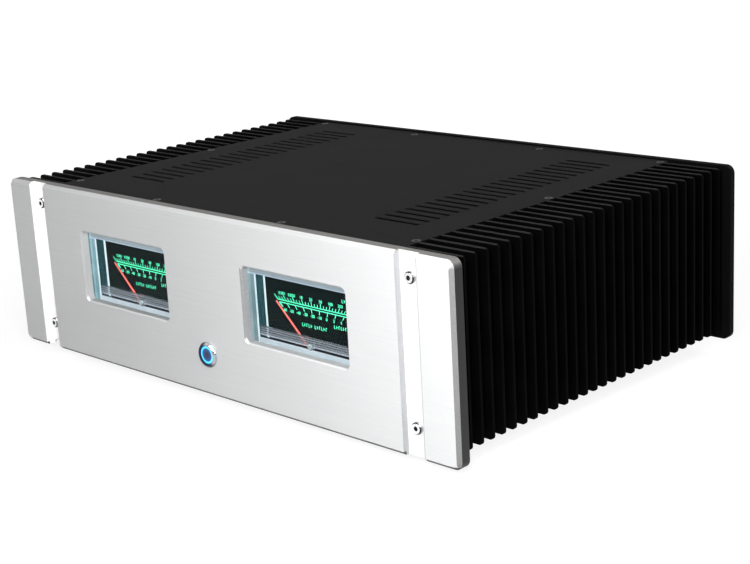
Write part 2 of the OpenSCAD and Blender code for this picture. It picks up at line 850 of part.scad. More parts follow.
// Slotted screw that sets the needle's zero, held in the tinted strip
module meter_zero_screw(side) color("#c9ccd0") in_frame() at_meter(side) translate([0, 0, zero_z])
    difference() {
        front = strip_y - zero_end_gap;
        back = strip_back + zero_end_gap;
        union() {
            bar(zero_head_r, front - zero_head_t, front);
            bar(zero_r, front - zero_head_t / 2, back + zero_collar_t / 2);
            bar(zero_head_r, back, back + zero_collar_t);
            translate([0, 0, zero_r]) bar(zero_pin_r, back, back + 3 * zero_collar_t);
        }
        translate([-zero_head_r - over, front - zero_head_t - over, -zero_slot_w / 2])
            cube([2 * (zero_head_r + over), over + zero_head_t / 2, zero_slot_w]);
    }

// Strip of lamps lying on the light frame
module meter_lamps(side) color("#e9f4f2") in_frame() at_meter(side) translate([0, light_y, meter_high]) {
    step = 2 * lamp_half / lamp_count;
    translate([-lamp_half, lamp_margin, lamp_chip])
        cube([2 * lamp_half, light_deep - 2 * lamp_margin, lamp_board_t]);
    for (i = [0 : lamp_count - 1])
        translate([(i + 0.5) * step - lamp_half - lamp_chip_w / 2, (light_deep - lamp_chip_w) / 2, 0])
            cube([lamp_chip_w, lamp_chip_w, lamp_chip + lamp_board_t / 2]);
}

module meter_clamps() color("gray") in_frame() difference() {
    for (side = [-1, 1]) at_meter(side)
        translate([-post_x - post_r, case_back, meter_z - clamp_h / 2])
            cube([2 * (post_x + post_r), clamp_t, clamp_h]);
    at_posts() bar(m3_r + slip, case_back - over, case_back + clamp_t + over);
}

module meter_posts() color("gainsboro") in_frame() at_posts() {
    bar(post_r, panel_t, case_back);
    bar(m3_r, panel_t - post_stud_l, clamp_back + tip_gap);
    difference() {
        hex_bar(m3_nut_r, case_back + clamp_t, clamp_back);
        bar(m3_r + thread, case_back + clamp_t - over, clamp_back + over);
    }
}

module meter_glass_left() meter_glass(-1);
module meter_glass_right() meter_glass(1);
module meter_strip_left() meter_strip(-1);
module meter_strip_right() meter_strip(1);
module meter_light_frame_left() meter_light_frame(-1);
module meter_light_frame_right() meter_light_frame(1);
module meter_dial_left() meter_dial(-1);
module meter_dial_right() meter_dial(1);
module meter_needle_left() meter_needle(-1);
module meter_needle_right() meter_needle(1);
module meter_movement_left() meter_movement(-1);
module meter_movement_right() meter_movement(1);
module meter_case_left() meter_case(-1);
module meter_case_right() meter_case(1);
module meter_zero_screw_left() meter_zero_screw(-1);
module meter_zero_screw_right() meter_zero_screw(1);
module meter_lamps_left() meter_lamps(-1);
module meter_lamps_right() meter_lamps(1);

// Rear panel and its screws

module at_sockets() {
    for (s = [-1, 1]) translate([s * socket_x, 0, socket_z]) children();
}

function terminal_place(i) = (i < 2 ? -1 : 1) * (terminal_x + (i == 0 || i == 3 ? terminal_gap : 0));

module at_terminals() {
    for (i = [0 : 3]) translate([terminal_place(i), 0, terminal_z]) children();
}

module at_inlet_screws() {
    for (s = [-1, 1]) translate([s * inlet_screw_x, 0, inlet_z]) children();
}

module rear_panel() color("#1b1c1e") in_frame() difference() {
    translate([0, 0, (rear_rise + rear_high) / 2])
        slab(body_w, rear_high - rear_rise, panel_corner_r, rear_in, body_d);
    at_panel_screws() bar(m4_r + slip, rear_in - over, body_d + over);
    at_inlet_screws() bar(m3_r + thread, rear_in - over, body_d + over);
    at_sockets() bar(socket_r + slip, rear_in - over, body_d + over);
    at_terminals() bar(terminal_sleeve_r + slip, rear_in - over, body_d + over);
    translate([0, 0, inlet_z])
        slab(inlet_w + 2 * slip, inlet_h + 2 * slip, mouth_r + slip, rear_in - over, body_d + over);
}

module rear_panel_screws() color("#3a3a3c") in_frame() {
    at_panel_screws() translate([0, body_d, 0]) rotate([-90, 0, 0])
        socket_screw(m4_r, m4_head_r, m4_head_h, rear_t + boss_deep - 2 * tip_gap);
    at_inlet_screws() translate([0, inlet_face, 0]) rotate([-90, 0, 0])
        socket_screw(m3_r, m3_head_r, m3_head_h, inlet_flange_t + rear_t);
}

// Mains inlet: flange, housing with the connector's recess, and the fuse drawer under it

module inlet_mouth() {
    w = mouth_w / 2;
    h = mouth_h / 2;
    polygon([[-w, -h], [w, -h], [w, h - mouth_corner], [w - mouth_corner, h],
        [-w + mouth_corner, h], [-w, h - mouth_corner]]);
}

module mains_inlet() color("#161616") in_frame() translate([0, 0, inlet_z]) difference() {
    union() {
        slab(inlet_flange_w, inlet_flange_h, 2 * mouth_r, body_d, inlet_face);
        slab(inlet_w, inlet_h, mouth_r, body_d - inlet_deep, body_d + inlet_flange_t / 2);
    }
    translate([0, inlet_face + over, mouth_up]) rotate([90, 0, 0])
        linear_extrude(mouth_deep + over) inlet_mouth();
    translate([0, 0, -drawer_down]) slab(drawer_w + 2 * slip, drawer_h + 2 * slip, 1,
        inlet_face - drawer_l - tip_gap, inlet_face + over);
    for (s = [-1, 1]) translate([s * inlet_screw_x, 0, 0]) bar(m3_r + slip, body_d - over, inlet_face + over);
    at_inlet_pins() cube([pin_t + 2 * slip, pin_l, pin_w + 2 * slip], center = true);
}

module at_inlet_pins() {
    y = inlet_face - mouth_deep + pin_show - pin_l / 2;
    for (i = [-1 : 1]) translate([i * pin_x, y, mouth_up + (i == 0 ? pin_z : -pin_z)]) children();
}

module inlet_pins() color("#c8b273") in_frame() translate([0, 0, inlet_z]) at_inlet_pins()
    cube([pin_t, pin_l, pin_w], center = true);

module fuse_drawer() color("#202022") in_frame() translate([0, 0, inlet_z - drawer_down]) {
    y0 = inlet_face - drawer_l;
    lip_w = drawer_w + 2 * drawer_lip;
    lip_h = drawer_h + drawer_lip;
    difference() {
        union() {
            slab(drawer_w, drawer_h, 0.8, y0, inlet_face + slip + drawer_lip_t / 2);
            slab(lip_w, lip_h, 1, inlet_face + slip, inlet_face + slip + drawer_lip_t);
        }
        bar(fuse_r + slip, y0 + drawer_end, y0 + drawer_end + fuse_l + 2 * slip);
        translate([-fuse_r - slip, y0 + drawer_end, 0])
            cube([2 * (fuse_r + slip), fuse_l + 2 * slip, drawer_h]);
    }
}

module fuse() color("#d7dfe0") in_frame() translate([0, 0, inlet_z - drawer_down])
    translate([0, inlet_face - drawer_l + drawer_end + slip, 0]) bar(fuse_r, 0, fuse_l);

// Input sockets: plated shell with its nut, and an insulating core

module input_sockets() color("#c9b064") in_frame() at_sockets() {
    difference() {
        union() {
            bar(socket_r, rear_in - socket_tail, body_d + socket_reach);
            bar(socket_flange_r, body_d, body_d + socket_flange_t);
        }
        bar(socket_r - socket_wall, rear_in - socket_tail - over, body_d + socket_reach + over);
    }
    difference() {
        hex_bar(socket_flange_r, rear_in - socket_flange_t, rear_in);
        bar(socket_r + thread, rear_in - socket_flange_t - over, rear_in + over);
    }
}

module input_cores() color("white") in_frame() at_sockets() difference() {
    face = body_d + socket_reach - tip_gap;
    bar(socket_r - socket_wall - thread, rear_in - socket_tail, face);
    bar(socket_bore_r, face - socket_bore_l, face + over);
}

// Speaker terminals: insulating bases, threaded studs with nuts, and turning caps

module terminal_bases() color("#1a1a1a") in_frame() at_terminals() {
    difference() {
        union() {
            bar(terminal_base_r, body_d, terminal_face);
            bar(terminal_sleeve_r, rear_in, body_d + over);
        }
        bar(terminal_r + slip, rear_in - over, terminal_face + over);
    }
    difference() {
        bar(terminal_base_r, rear_in - terminal_washer_t, rear_in);
        bar(terminal_r + slip, rear_in - terminal_washer_t - over, rear_in + over);
    }
}

module terminal_studs() color("#c9a24a") in_frame() at_terminals() {
    nut_back = rear_in - terminal_washer_t;
    difference() {
        bar(terminal_r, nut_back - terminal_nut_t - terminal_tail, terminal_end - tip_gap);
        bar(terminal_bore_r, terminal_end - tip_gap - terminal_bore_l, terminal_end);
    }
    difference() {
        hex_bar(terminal_nut_r, nut_back - terminal_nut_t, nut_back);
        bar(terminal_r + thread, nut_back - terminal_nut_t - over, nut_back + over);
    }
}

module terminal_cap(i) in_frame() translate([terminal_place(i), 0, terminal_z]) difference() {
    front = terminal_face + terminal_cap_gap;
    bar(terminal_cap_r, front, terminal_end);
    bar(terminal_r + running, front - over, terminal_end + over);
    for (k = [0 : terminal_grips - 1]) rotate([0, k * 360 / terminal_grips, 0])
        translate([terminal_cap_r + terminal_grip_r / 2, 0, 0])
            bar(terminal_grip_r, front + terminal_cap_l / 4, terminal_end + over);
}

module terminal_cap_1() color("#b3231f") terminal_cap(0);
module terminal_cap_2() color("#1a1a1a") terminal_cap(1);
module terminal_cap_3() color("#1a1a1a") terminal_cap(2);
module terminal_cap_4() color("#b3231f") terminal_cap(3);

// Ring transformer with its clamping dish and bolt

module transformer() color("#b5713a") in_frame() translate([0, transformer_y, floor_z]) {
    ring_w = transformer_r - transformer_hole_r;
    rotate_extrude() translate([transformer_hole_r + ring_w / 2, transformer_pad_t + transformer_h / 2])
        rounded(ring_w, transformer_h, transformer_round);
    difference() {
        cylinder(r = transformer_r - transformer_round, h = transformer_pad_t);
        translate([0, 0, -over])
            cylinder(r = transformer_hole_r + transformer_round, h = transformer_pad_t + 2 * over);
    }
}

module transformer_dish() color("silver") in_frame() translate([0, transformer_y, transformer_top])
    difference() {
        cylinder(r = dish_r, h = dish_t);
        translate([0, 0, -over]) cylinder(r = bolt_r + slip, h = dish_t + 2 * over);
    }

module transformer_bolt() color("gray") in_frame() translate([0, transformer_y, 0]) {
    translate([0, 0, transformer_top + dish_t])
        socket_screw(bolt_r, bolt_head_r, bolt_head_h, transformer_top + dish_t - sink_low + bolt_nut_h);
    translate([0, 0, sink_low - bolt_nut_h]) difference() {
        cylinder(r = bolt_head_r, h = bolt_nut_h, $fn = 6);
        translate([0, 0, -over]) cylinder(r = bolt_r + thread, h = bolt_nut_h + 2 * over);
    }
}

// Supply board with its capacitors, and the rectifier beside it

module at_supply_standoffs() {
    for (sx = [-1, 1], sy = [-1, 1])
        translate([sx * (supply_w / 2 - supply_inset), supply_y + sy * (supply_d / 2 - supply_inset), 0])
            children();
}

module at_rectifier() {
    translate([rectifier_x, rectifier_y, 0]) children();
}

module supply_board() color("#1f5b34") in_frame() difference() {
    translate([-supply_w / 2, supply_y - supply_d / 2, board_z]) cube([supply_w, supply_d, board_t]);
    at_supply_standoffs() translate([0, 0, board_z - over]) cylinder(r = m3_r + slip, h = board_t + 2 * over);
}

// Can with a groove rolled in above its lower end
module capacitor() difference() {
    bead_h = 2 * capacitor_bead;
    cylinder(r = capacitor_r, h = capacitor_h);
    translate([0, 0, capacitor_bead_z]) difference() {
        cylinder(r = capacitor_r + over, h = bead_h);
        translate([0, 0, -over]) cylinder(r = capacitor_r - capacitor_bead / 2, h = bead_h + 2 * over);
    }
}

module smoothing_capacitors() color("#20242c") in_frame()
    for (i = [0 : capacitor_count - 1])
        translate([(i - (capacitor_count - 1) / 2) * capacitor_pitch, supply_y, board_z + board_t])
            capacitor();

module rectifier() color("#2b2b2d") in_frame() at_rectifier() translate([0, 0, floor_z]) {
    half = rectifier_w / 2;
    difference() {
        translate([-half, -half, 0]) cube([rectifier_w, rectifier_w, rectifier_h]);
        translate([0, 0, -over]) cylinder(r = m3_r + slip, h = rectifier_h + 2 * over);
    }
    for (sx = [-1, 1], sy = [-1, 1])
        translate([sx * rectifier_blade_x, sy * rectifier_blade_x, rectifier_h - over])
            translate([-rectifier_blade_t / 2, -rectifier_blade_w / 2, 0])
                cube([rectifier_blade_t, rectifier_blade_w, rectifier_blade_l + over]);
}

// Amplifier boards on the heatsinks, with the output transistors below them

module at_amp_standoffs() {
    for (sy = [-1, 1], z = [amp_low + amp_inset, amp_low + amp_board_h - amp_inset])
        translate([amp_x, amp_y + sy * (amp_board_l / 2 - amp_inset), z]) children();
}

module both_sides() {
    children();
    mirror([1, 0, 0]) children();
}

module amplifier_boards() color("#1f5b34") in_frame() both_sides() difference() {
    union() {
        translate([amp_x - board_t, amp_y - amp_board_l / 2, amp_low])
            cube([board_t, amp_board_l, amp_board_h]);
        for (s = [-1, 1]) translate([amp_x - board_t, amp_y + s * amp_board_l / 4, amp_low + relay_h])
            translate([-relay_t, -relay_l / 2, 0]) cube([relay_t + board_t / 2, relay_l, relay_h]);
    }
    at_amp_standoffs() rotate([0, 90, 0]) translate([0, 0, -board_t - over])
        cylinder(r = m3_r + slip, h = board_t + 2 * over);
}

module transistor() {
    translate([-transistor_t, -transistor_w / 2, 0]) cube([transistor_t, transistor_w, transistor_h]);
    for (i = [-1 : 1]) translate([-leg_x, i * leg_pitch - leg_w / 2, transistor_h - over]) {
        rise = amp_low + leg_up - transistor_low - transistor_h;
        cube([leg_t, leg_w, rise + over]);
        translate([leg_x - amp_gap, 0, rise + over - leg_t]) cube([amp_gap - leg_x + leg_t, leg_w, leg_t]);
    }
}

module output_transistors() color("#18181a") in_frame() both_sides()
    for (i = [0 : transistor_count - 1])
        translate([sink_in, amp_y + (i - (transistor_count - 1) / 2) * transistor_pitch, transistor_low])
            transistor();

// Standoffs under the supply board and behind the amplifier boards, and the rectifier's screw

module standoff(l, below, above) {
    cylinder(r = standoff_r, h = l, $fn = 6);
    translate([0, 0, -below]) cylinder(r = m3_r, h = below + l + above);
}

module board_standoffs() color("#b8963f") in_frame() {
    at_supply_standoffs() translate([0, 0, floor_z]) standoff(standoff_h, lid_t, board_t + tip_gap);
    both_sides() at_amp_standoffs() rotate([0, 90, 0]) translate([0, 0, amp_gap]) mirror([0, 0, 1])
        standoff(amp_gap, post_stud_l, board_t + tip_gap);
    at_rectifier() translate([0, 0, floor_z + rectifier_h])
        socket_screw(m3_r, m3_head_r, m3_head_h, rectifier_h + lid_t);
}

front_panel();
front_panel_screws();
rear_panel();
rear_panel_screws();
heatsink_left();
heatsink_right();
front_rail();
rear_rail();
top_cover();
top_cover_screws();
bottom_plate();
bottom_plate_screws();
feet();
foot_pads();
foot_screws();
button_body();
button_cap();
button_light_ring();
button_nut();
meter_glass_left();
meter_glass_right();
meter_strip_left();
meter_strip_right();
meter_light_frame_left();
meter_light_frame_right();
meter_dial_left();
meter_dial_right();
meter_needle_left();
meter_needle_right();
meter_movement_left();
meter_movement_right();
meter_case_left();
meter_case_right();
meter_zero_screw_left();
meter_zero_screw_right();
meter_lamps_left();
meter_lamps_right();
meter_clamps();
meter_posts();
mains_inlet();
inlet_pins();
fuse_drawer();
fuse();
input_sockets();
input_cores();
terminal_bases();
terminal_studs();
terminal_cap_1();
terminal_cap_2();
terminal_cap_3();
terminal_cap_4();
transformer();
transformer_dish();
transformer_bolt();
supply_board();
smoothing_capacitors();
rectifier();
amplifier_boards();
output_transistors();
board_standoffs();
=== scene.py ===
"""Looks of a stereo power amplifier with two needle meters and finned sides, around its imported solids."""
import json
import math

import bmesh
import bpy
from mathutils import Matrix, Vector

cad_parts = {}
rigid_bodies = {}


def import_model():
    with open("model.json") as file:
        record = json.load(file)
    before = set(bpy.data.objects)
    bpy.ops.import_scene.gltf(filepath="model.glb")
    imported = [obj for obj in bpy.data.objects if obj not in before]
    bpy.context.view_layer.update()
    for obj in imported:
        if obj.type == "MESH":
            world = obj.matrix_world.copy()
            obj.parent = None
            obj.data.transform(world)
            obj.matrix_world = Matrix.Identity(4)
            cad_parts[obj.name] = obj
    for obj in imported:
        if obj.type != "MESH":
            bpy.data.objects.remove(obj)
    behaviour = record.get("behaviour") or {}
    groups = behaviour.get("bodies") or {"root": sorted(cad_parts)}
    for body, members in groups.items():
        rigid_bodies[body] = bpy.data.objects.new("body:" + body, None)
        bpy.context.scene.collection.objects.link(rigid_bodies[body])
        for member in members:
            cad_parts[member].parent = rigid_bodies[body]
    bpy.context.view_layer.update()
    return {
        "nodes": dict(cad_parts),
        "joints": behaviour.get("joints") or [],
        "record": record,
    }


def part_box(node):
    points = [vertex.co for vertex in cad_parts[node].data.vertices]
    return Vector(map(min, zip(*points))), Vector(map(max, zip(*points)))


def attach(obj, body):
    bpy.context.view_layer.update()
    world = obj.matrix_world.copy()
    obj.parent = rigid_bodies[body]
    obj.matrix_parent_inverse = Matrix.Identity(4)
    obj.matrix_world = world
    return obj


for leftover in list(bpy.data.objects):
    bpy.data.objects.remove(leftover)
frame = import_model()


# Heatsinks
# Two extruded aluminium combs make the sides of the case and carry every other wall.
# They are sawn to length and black anodised. Their upper ends carry a painted highlight, a shade lighter,
# for the light on the fin tops.

MM = 0.001
LIT_TOP_DEPTH = 0.35 * MM
NOISE_LOW = 0.3
NOISE_HIGH = 0.7
WELD_REACH = 0.001 * MM
SHARP_ANGLE = math.radians(35)
ROUND_STEPS = 2


class Signal:
    """One output of a shader node, or with no socket the start of a tree.

    Sums and comparisons on it add Math nodes.
    """

    def __init__(self, tree, socket=None):
        self.tree = tree
        self.socket = socket

    def node(self, kind, settings, sockets, output=0):
        """Adds any other node: its type, its settings, and the values or links of its sockets."""
        made = self.tree.nodes.new(kind)
        for name, value in settings.items():
            if name == "stops":
                ramp = made.color_ramp
                while len(ramp.elements) < len(value):
                    ramp.elements.new(1.0)
                for element, (position, colour) in zip(ramp.elements, value):
                    element.position = position
                    element.color = colour
            else:
                setattr(made, name, value)
        for name, value in sockets.items():
            if isinstance(value, Signal):
                self.tree.links.new(value.socket, made.inputs[name])
            else:
                made.inputs[name].default_value = value
        return Signal(self.tree, made.outputs[output])

    def math(self, operation, *values):
        """One Math node on the values."""
        return self.node("ShaderNodeMath", {"operation": operation}, dict(enumerate(values)))

    def distance(self, other):
        """The length of a step of this value one way and another value at right angles."""
        return self.math("SQRT", self * self + other * other)

    def __add__(self, other):
        return self.math("ADD", self, other)

    def __sub__(self, other):
        return self.math("SUBTRACT", self, other)

    def __mul__(self, other):
        return self.math("MULTIPLY", self, other)

    def __truediv__(self, other):
        return self.math("DIVIDE", self, other)

    def __rsub__(self, other):
        return self.math("SUBTRACT", other, self)

    def __abs__(self):
        return self.math("ABSOLUTE", self)

    def __gt__(self, limit):
        return self.math("GREATER_THAN", self, limit)

    def __lt__(self, limit):
        return self.math("LESS_THAN", self, limit)

    __radd__ = __add__
    __rmul__ = __mul__

    def ramp(self, *stops):
        """This value as a colour, by stops of (position, colour)."""
        full = [(position, (*colour, 1.0)) for position, colour in stops]
        return self.node("ShaderNodeValToRGB", {"stops": full}, {"Fac": self})

    def between(self, low, high):
        """The middle range of a noise as a colour, from low to high."""
        return self.ramp((NOISE_LOW, low), (NOISE_HIGH, high))

    def blend(self, colour, other):
        """From one colour to another as this value goes from 0 to 1."""
        pair = [c if isinstance(c, Signal) else (*c, 1.0) for c in (colour, other)]
        return self.node("ShaderNodeMix", {"data_type": "RGBA"}, {0: self, 6: pair[0], 7: pair[1]}, 2)


class Finish:
    """A material of one Principled shader, drawn on the object's own coordinates in metres."""

    def __init__(self, name, constants):
        self.material = bpy.data.materials.new(name)
        self.material.use_nodes = True
        tree = self.material.node_tree
        self.shader = tree.nodes["Principled BSDF"]
        for socket, value in constants.items():
            self.shader.inputs[socket].default_value = value
        self.place = Signal(tree).node("ShaderNodeTexCoord", {}, {}, "Object")

    def axes(self):
        """The three coordinates as separate values."""
        return [self.place.node("ShaderNodeSeparateXYZ", {}, {"Vector": self.place}, i) for i in range(3)]

    def grain(self, x, y, z, detail=3.0):
        """Noise with so many features per metre along each axis, from 0 to 1."""
        scaled = self.place.node("ShaderNodeMapping", {}, {"Vector": self.place, "Scale": (x, y, z)})
        sockets = {"Vector": scaled, "Scale": 1.0, "Detail": detail}
        return self.place.node("ShaderNodeTexNoise", {}, sockets)

    def feed(self, socket, signal):
        """Links a value or a colour to one socket of the shader."""
        self.place.tree.links.new(signal.socket, self.shader.inputs[socket])

    def bump(self, height, depth, strength=1.0):
        """Raises the surface in the light by a height of 0 to 1 times a depth."""
        sockets = {"Height": height, "Distance": depth, "Strength": strength}
        self.feed("Normal", self.place.node("ShaderNodeBump", {}, sockets))

    def put_on(self, *pieces):
        """Makes this the only material of the pieces."""
        for piece in pieces:
            piece.data.materials.clear()
            piece.data.materials.append(self.material)


def pieces_of(slot):
    """The nodes that the record gives one material slot."""
    parts = frame["record"]["subparts"]
    return [frame["nodes"][part["node"]] for part in parts if part["material_slot"] == slot]


def soften(pieces, width):
    """Breaks the sharp edges of the pieces with a small round, as tumbling or a file does."""
    for piece in pieces:
        weld = piece.modifiers.new("weld", "WELD")
        weld.merge_threshold = WELD_REACH
        edge = piece.modifiers.new("edge", "BEVEL")
        edge.width = width
        edge.segments = ROUND_STEPS
        edge.limit_method = "ANGLE"
        edge.angle_limit = SHARP_ANGLE
        edge.miter_outer = "MITER_ARC"
        edge.harden_normals = True


sink_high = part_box("heatsink_right")[1]
black_anodise = Finish("black_anodise", {"Specular IOR Level": 0.015})
draw_marks = black_anodise.grain(900, 900, 6)
cloud = black_anodise.grain(40, 40, 40)
# Painted highlight: the top of each fin is lighter, for the light that falls on it
lit_top = black_anodise.axes()[2] > sink_high.z - LIT_TOP_DEPTH
dyed = cloud.between((0.0008, 0.0008, 0.0009), (0.0017, 0.0017, 0.0018))
painted_top_highlight = cloud.between((0.019, 0.019, 0.0195), (0.03, 0.03, 0.0305))
black_anodise.feed("Base Color", lit_top.blend(dyed, painted_top_highlight))
black_anodise.feed("Roughness", 0.42 + 0.16 * draw_marks)
black_anodise.bump(draw_marks, depth=0.03 * MM, strength=0.5)
black_anodise.put_on(*pieces_of("black_sink"))
soften(pieces_of("black_sink"), width=0.25 * MM)


# Rails
# Two flat aluminium bars tie the heatsinks together under the ends of the top cover.
# They are sawn from bar stock, tapped for the cover's screws and left as drawn.

mill_aluminium = Finish("mill_aluminium", {"Metallic": 1.0})
bar_lines = mill_aluminium.grain(5, 1500, 1500)
mill_aluminium.feed("Base Color", bar_lines.between((0.52, 0.52, 0.53), (0.66, 0.66, 0.67)))
mill_aluminium.feed("Roughness", 0.32 + 0.2 * bar_lines)
mill_aluminium.put_on(*pieces_of("plain_aluminium"))
soften(pieces_of("plain_aluminium"), width=0.3 * MM)


# Covers and rear panel
# The top cover and bottom plate are punched aluminium sheet, screwed down flush with the fins.
# They and the thick rear panel have a fine black powder coat. Painted shade darkens the slots' walls in the
# right half, and the rear panel but for its outer face.

COAT_EDGE = 0.25 * MM

cover_low, cover_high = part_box("top_cover")
powder_coat = Finish("powder_coat", {"Specular IOR Level": 0.03})
peel = powder_coat.grain(1400, 1400, 1400, detail=2.0)
patches = powder_coat.grain(18, 18, 18)
sheet_x, sheet_y, sheet_z = powder_coat.axes()
in_sheet = (sheet_z > cover_low.z - COAT_EDGE) * (sheet_z < cover_high.z - COAT_EDGE)
in_slot = in_sheet * (sheet_y < cover_high.y)
cloudy = 0.5 * peel + 0.5 * patches
coat = cloudy.ramp((0.35, (0.0065, 0.0065, 0.007)), (0.65, (0.0125, 0.0125, 0.013)))
# Painted shade: the slots' walls in the right half, and all of the rear panel but its outer face, are
# darker
right_slot_shade = patches.between((0.001, 0.001, 0.001), (0.002, 0.002, 0.002))
rear_shade = cloudy.ramp((0.35, (0.002, 0.002, 0.0021)), (0.65, (0.004, 0.004, 0.0042)))
left_slot_tone = patches.between((0.008, 0.008, 0.008), (0.012, 0.012, 0.012))
slot_shade = (sheet_x < 0.0).blend(right_slot_shade, left_slot_tone)
on_outer_face = sheet_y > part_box("rear_panel")[1].y - COAT_EDGE
coat_and_shade = (sheet_y > cover_high.y).blend(in_slot.blend(coat, slot_shade), rear_shade)
powder_coat.feed("Base Color", on_outer_face.blend(coat_and_shade, coat))
powder_coat.feed("Roughness", 0.5 + 0.14 * patches)
powder_coat.bump(peel, depth=0.06 * MM, strength=0.6)
powder_coat.put_on(*pieces_of("black_sheet"))
soften(pieces_of("black_sheet"), width=0.3 * MM)


# Feet
# Turned aluminium discs, black anodised, each with a rubber ring let into its underside.
# A screw up through the middle holds each one to the bottom plate.

foot_anodise = Finish("foot_anodise", {"Specular IOR Level": 0.3})
turning = foot_anodise.grain(150, 150, 2500)
foot_anodise.feed("Base Color", turning.between((0.008, 0.008, 0.009), (0.018, 0.018, 0.019)))
foot_anodise.feed("Roughness", 0.28 + 0.2 * turning)
foot_anodise.put_on(*pieces_of("foot_black"))
soften(pieces_of("foot_black"), width=0.3 * MM)

soft_rubber = Finish("soft_rubber", {"Specular IOR Level": 0.25})
bloom = soft_rubber.grain(300, 300, 300)
soft_rubber.feed("Base Color", bloom.ramp((0.3, (0.01, 0.01, 0.01)), (0.75, (0.028, 0.027, 0.026))))
soft_rubber.feed("Roughness", 0.7 + 0.2 * bloom)
soft_rubber.bump(bloom, depth=0.05 * MM)
soft_rubber.put_on(*pieces_of("rubber"))


# Transformer
# A ring of iron tape wound round with copper wire, under a pressed steel dish and one bolt.
# Clear tape over the turns lets the copper colour show in close radial lines.

TURN_ANGLE = math.tau / 360

copper_turns = Finish("copper_turns", {"Metallic": 0.7})
ring_low, ring_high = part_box("transformer")
ring_middle = (ring_low + ring_high) / 2
ring_x, ring_y, _ = copper_turns.axes()
ring_angle = ring_x.math("ARCTAN2", ring_x - ring_middle.x, ring_y - ring_middle.y)
turn_shade = ring_angle.math("PINGPONG", ring_angle, TURN_ANGLE) / TURN_ANGLE
copper_turns.feed("Base Color", turn_shade.ramp((0.0, (0.16, 0.06, 0.02)), (0.6, (0.55, 0.25, 0.1))))
copper_turns.feed("Roughness", 0.25 + 0.2 * copper_turns.grain(60, 60, 60))
copper_turns.bump(turn_shade, depth=0.3 * MM)
copper_turns.put_on(*pieces_of("winding"))


# Boards and capacitors
# Green glass fibre boards on brass standoffs, the tall smoothing cans in dark sleeves, and the
# transistors and rectifier in black moulded packages.

board_lacquer = Finish("board_lacquer", {})
tracks = board_lacquer.grain(120, 30, 120, detail=0.0)
board_lacquer.feed("Base Color", tracks.ramp((0.46, (0.008, 0.075, 0.03)), (0.52, (0.014, 0.13, 0.05))))
board_lacquer.feed("Roughness", 0.3 + 0.15 * board_lacquer.grain(400, 400, 400))
board_lacquer.put_on(*pieces_of("board"))

can_sleeve = Finish("can_sleeve", {})
shrink = can_sleeve.grain(60, 60, 20)
can_sleeve.feed("Base Color", shrink.between((0.008, 0.011, 0.03), (0.014, 0.018, 0.045)))
can_sleeve.feed("Roughness", 0.22 + 0.2 * shrink)
can_sleeve.put_on(*pieces_of("capacitor"))
soften(pieces_of("capacitor"), width=0.6 * MM)


# Rear connectors
# A moulded mains inlet with a fuse drawer, two line sockets, and four binding posts whose
# caps screw along gold plated studs. Their black moulding also makes the meters' cases and the
# transistors' packages.

black_moulding = Finish("black_moulding", {"Specular IOR Level": 0.35})
spark = black_moulding.grain(1800, 1800, 1800)
black_moulding.feed("Base Color", spark.between((0.009, 0.009, 0.0095), (0.02, 0.02, 0.021)))
black_moulding.feed("Roughness", 0.4 + 0.2 * spark)
black_moulding.bump(spark, depth=0.03 * MM, strength=0.6)
black_moulding.put_on(*pieces_of("black_plastic"))
soften(pieces_of("black_plastic"), width=0.25 * MM)

red_moulding = Finish("red_moulding", {"Coat Weight": 0.4})
flow = red_moulding.grain(90, 90, 90)
red_moulding.feed("Base Color", flow.between((0.36, 0.012, 0.01), (0.5, 0.022, 0.018)))
red_moulding.feed("Roughness", 0.25 + 0.15 * flow)
red_moulding.put_on(*pieces_of("red_plastic"))
soften(pieces_of("red_plastic"), width=0.25 * MM)

gold_plate = Finish("gold_plate", {"Metallic": 1.0})
lathe = gold_plate.grain(200, 3000, 200)
gold_plate.feed("Base Color", lathe.between((0.72, 0.5, 0.19), (0.86, 0.65, 0.3)))
gold_plate.feed("Roughness", 0.16 + 0.16 * lathe)
gold_plate.put_on(*pieces_of("gold"))
soften(pieces_of("gold"), width=0.12 * MM)

white_moulding = Finish("white_moulding", {})
chalk = white_moulding.grain(500, 500, 500)
white_moulding.feed("Base Color", chalk.between((0.72, 0.72, 0.7), (0.82, 0.82, 0.8)))
white_moulding.feed("Roughness", 0.35 + 0.15 * chalk)
white_moulding.put_on(*pieces_of("white_plastic"))

fuse_tube = Finish("fuse_tube", {"Transmission Weight": 0.8, "Roughness": 0.08})
smoke = fuse_tube.grain(200, 50, 200)
fuse_tube.feed("Base Color", smoke.between((0.75, 0.82, 0.83), (0.85, 0.9, 0.9)))
fuse_tube.put_on(*pieces_of("fuse_glass"))


# Front panel
# A 9 mm aluminium plate, brushed, blasted and clear anodised to a soft silver, then milled for
# its two windows and for the two bright channels that take its screws. Its edges, walls, sills and
# rim carry painted shade and painted highlight, each a tone for the light it would catch.

CHANNEL_INSET = 34.8 * MM
CHANNEL_WIDTH = 16.4 * MM
CHANNEL_DEEP = 4.8 * MM
EDGE_SHADE_WIDTH = 0.8 * MM
EDGE_BEVEL = 2.4 * MM
CORNER_ROUND = 5.5 * MM
TOP_SKIN = 0.25 * MM
WINDOW_WIDTH = 92.0 * MM
WINDOW_HEIGHT = 50.0 * MM
WINDOW_MIDDLE = 69.7 * MM
WINDOW_BEVEL = 1.0 * MM
SKIN = 0.05 * MM

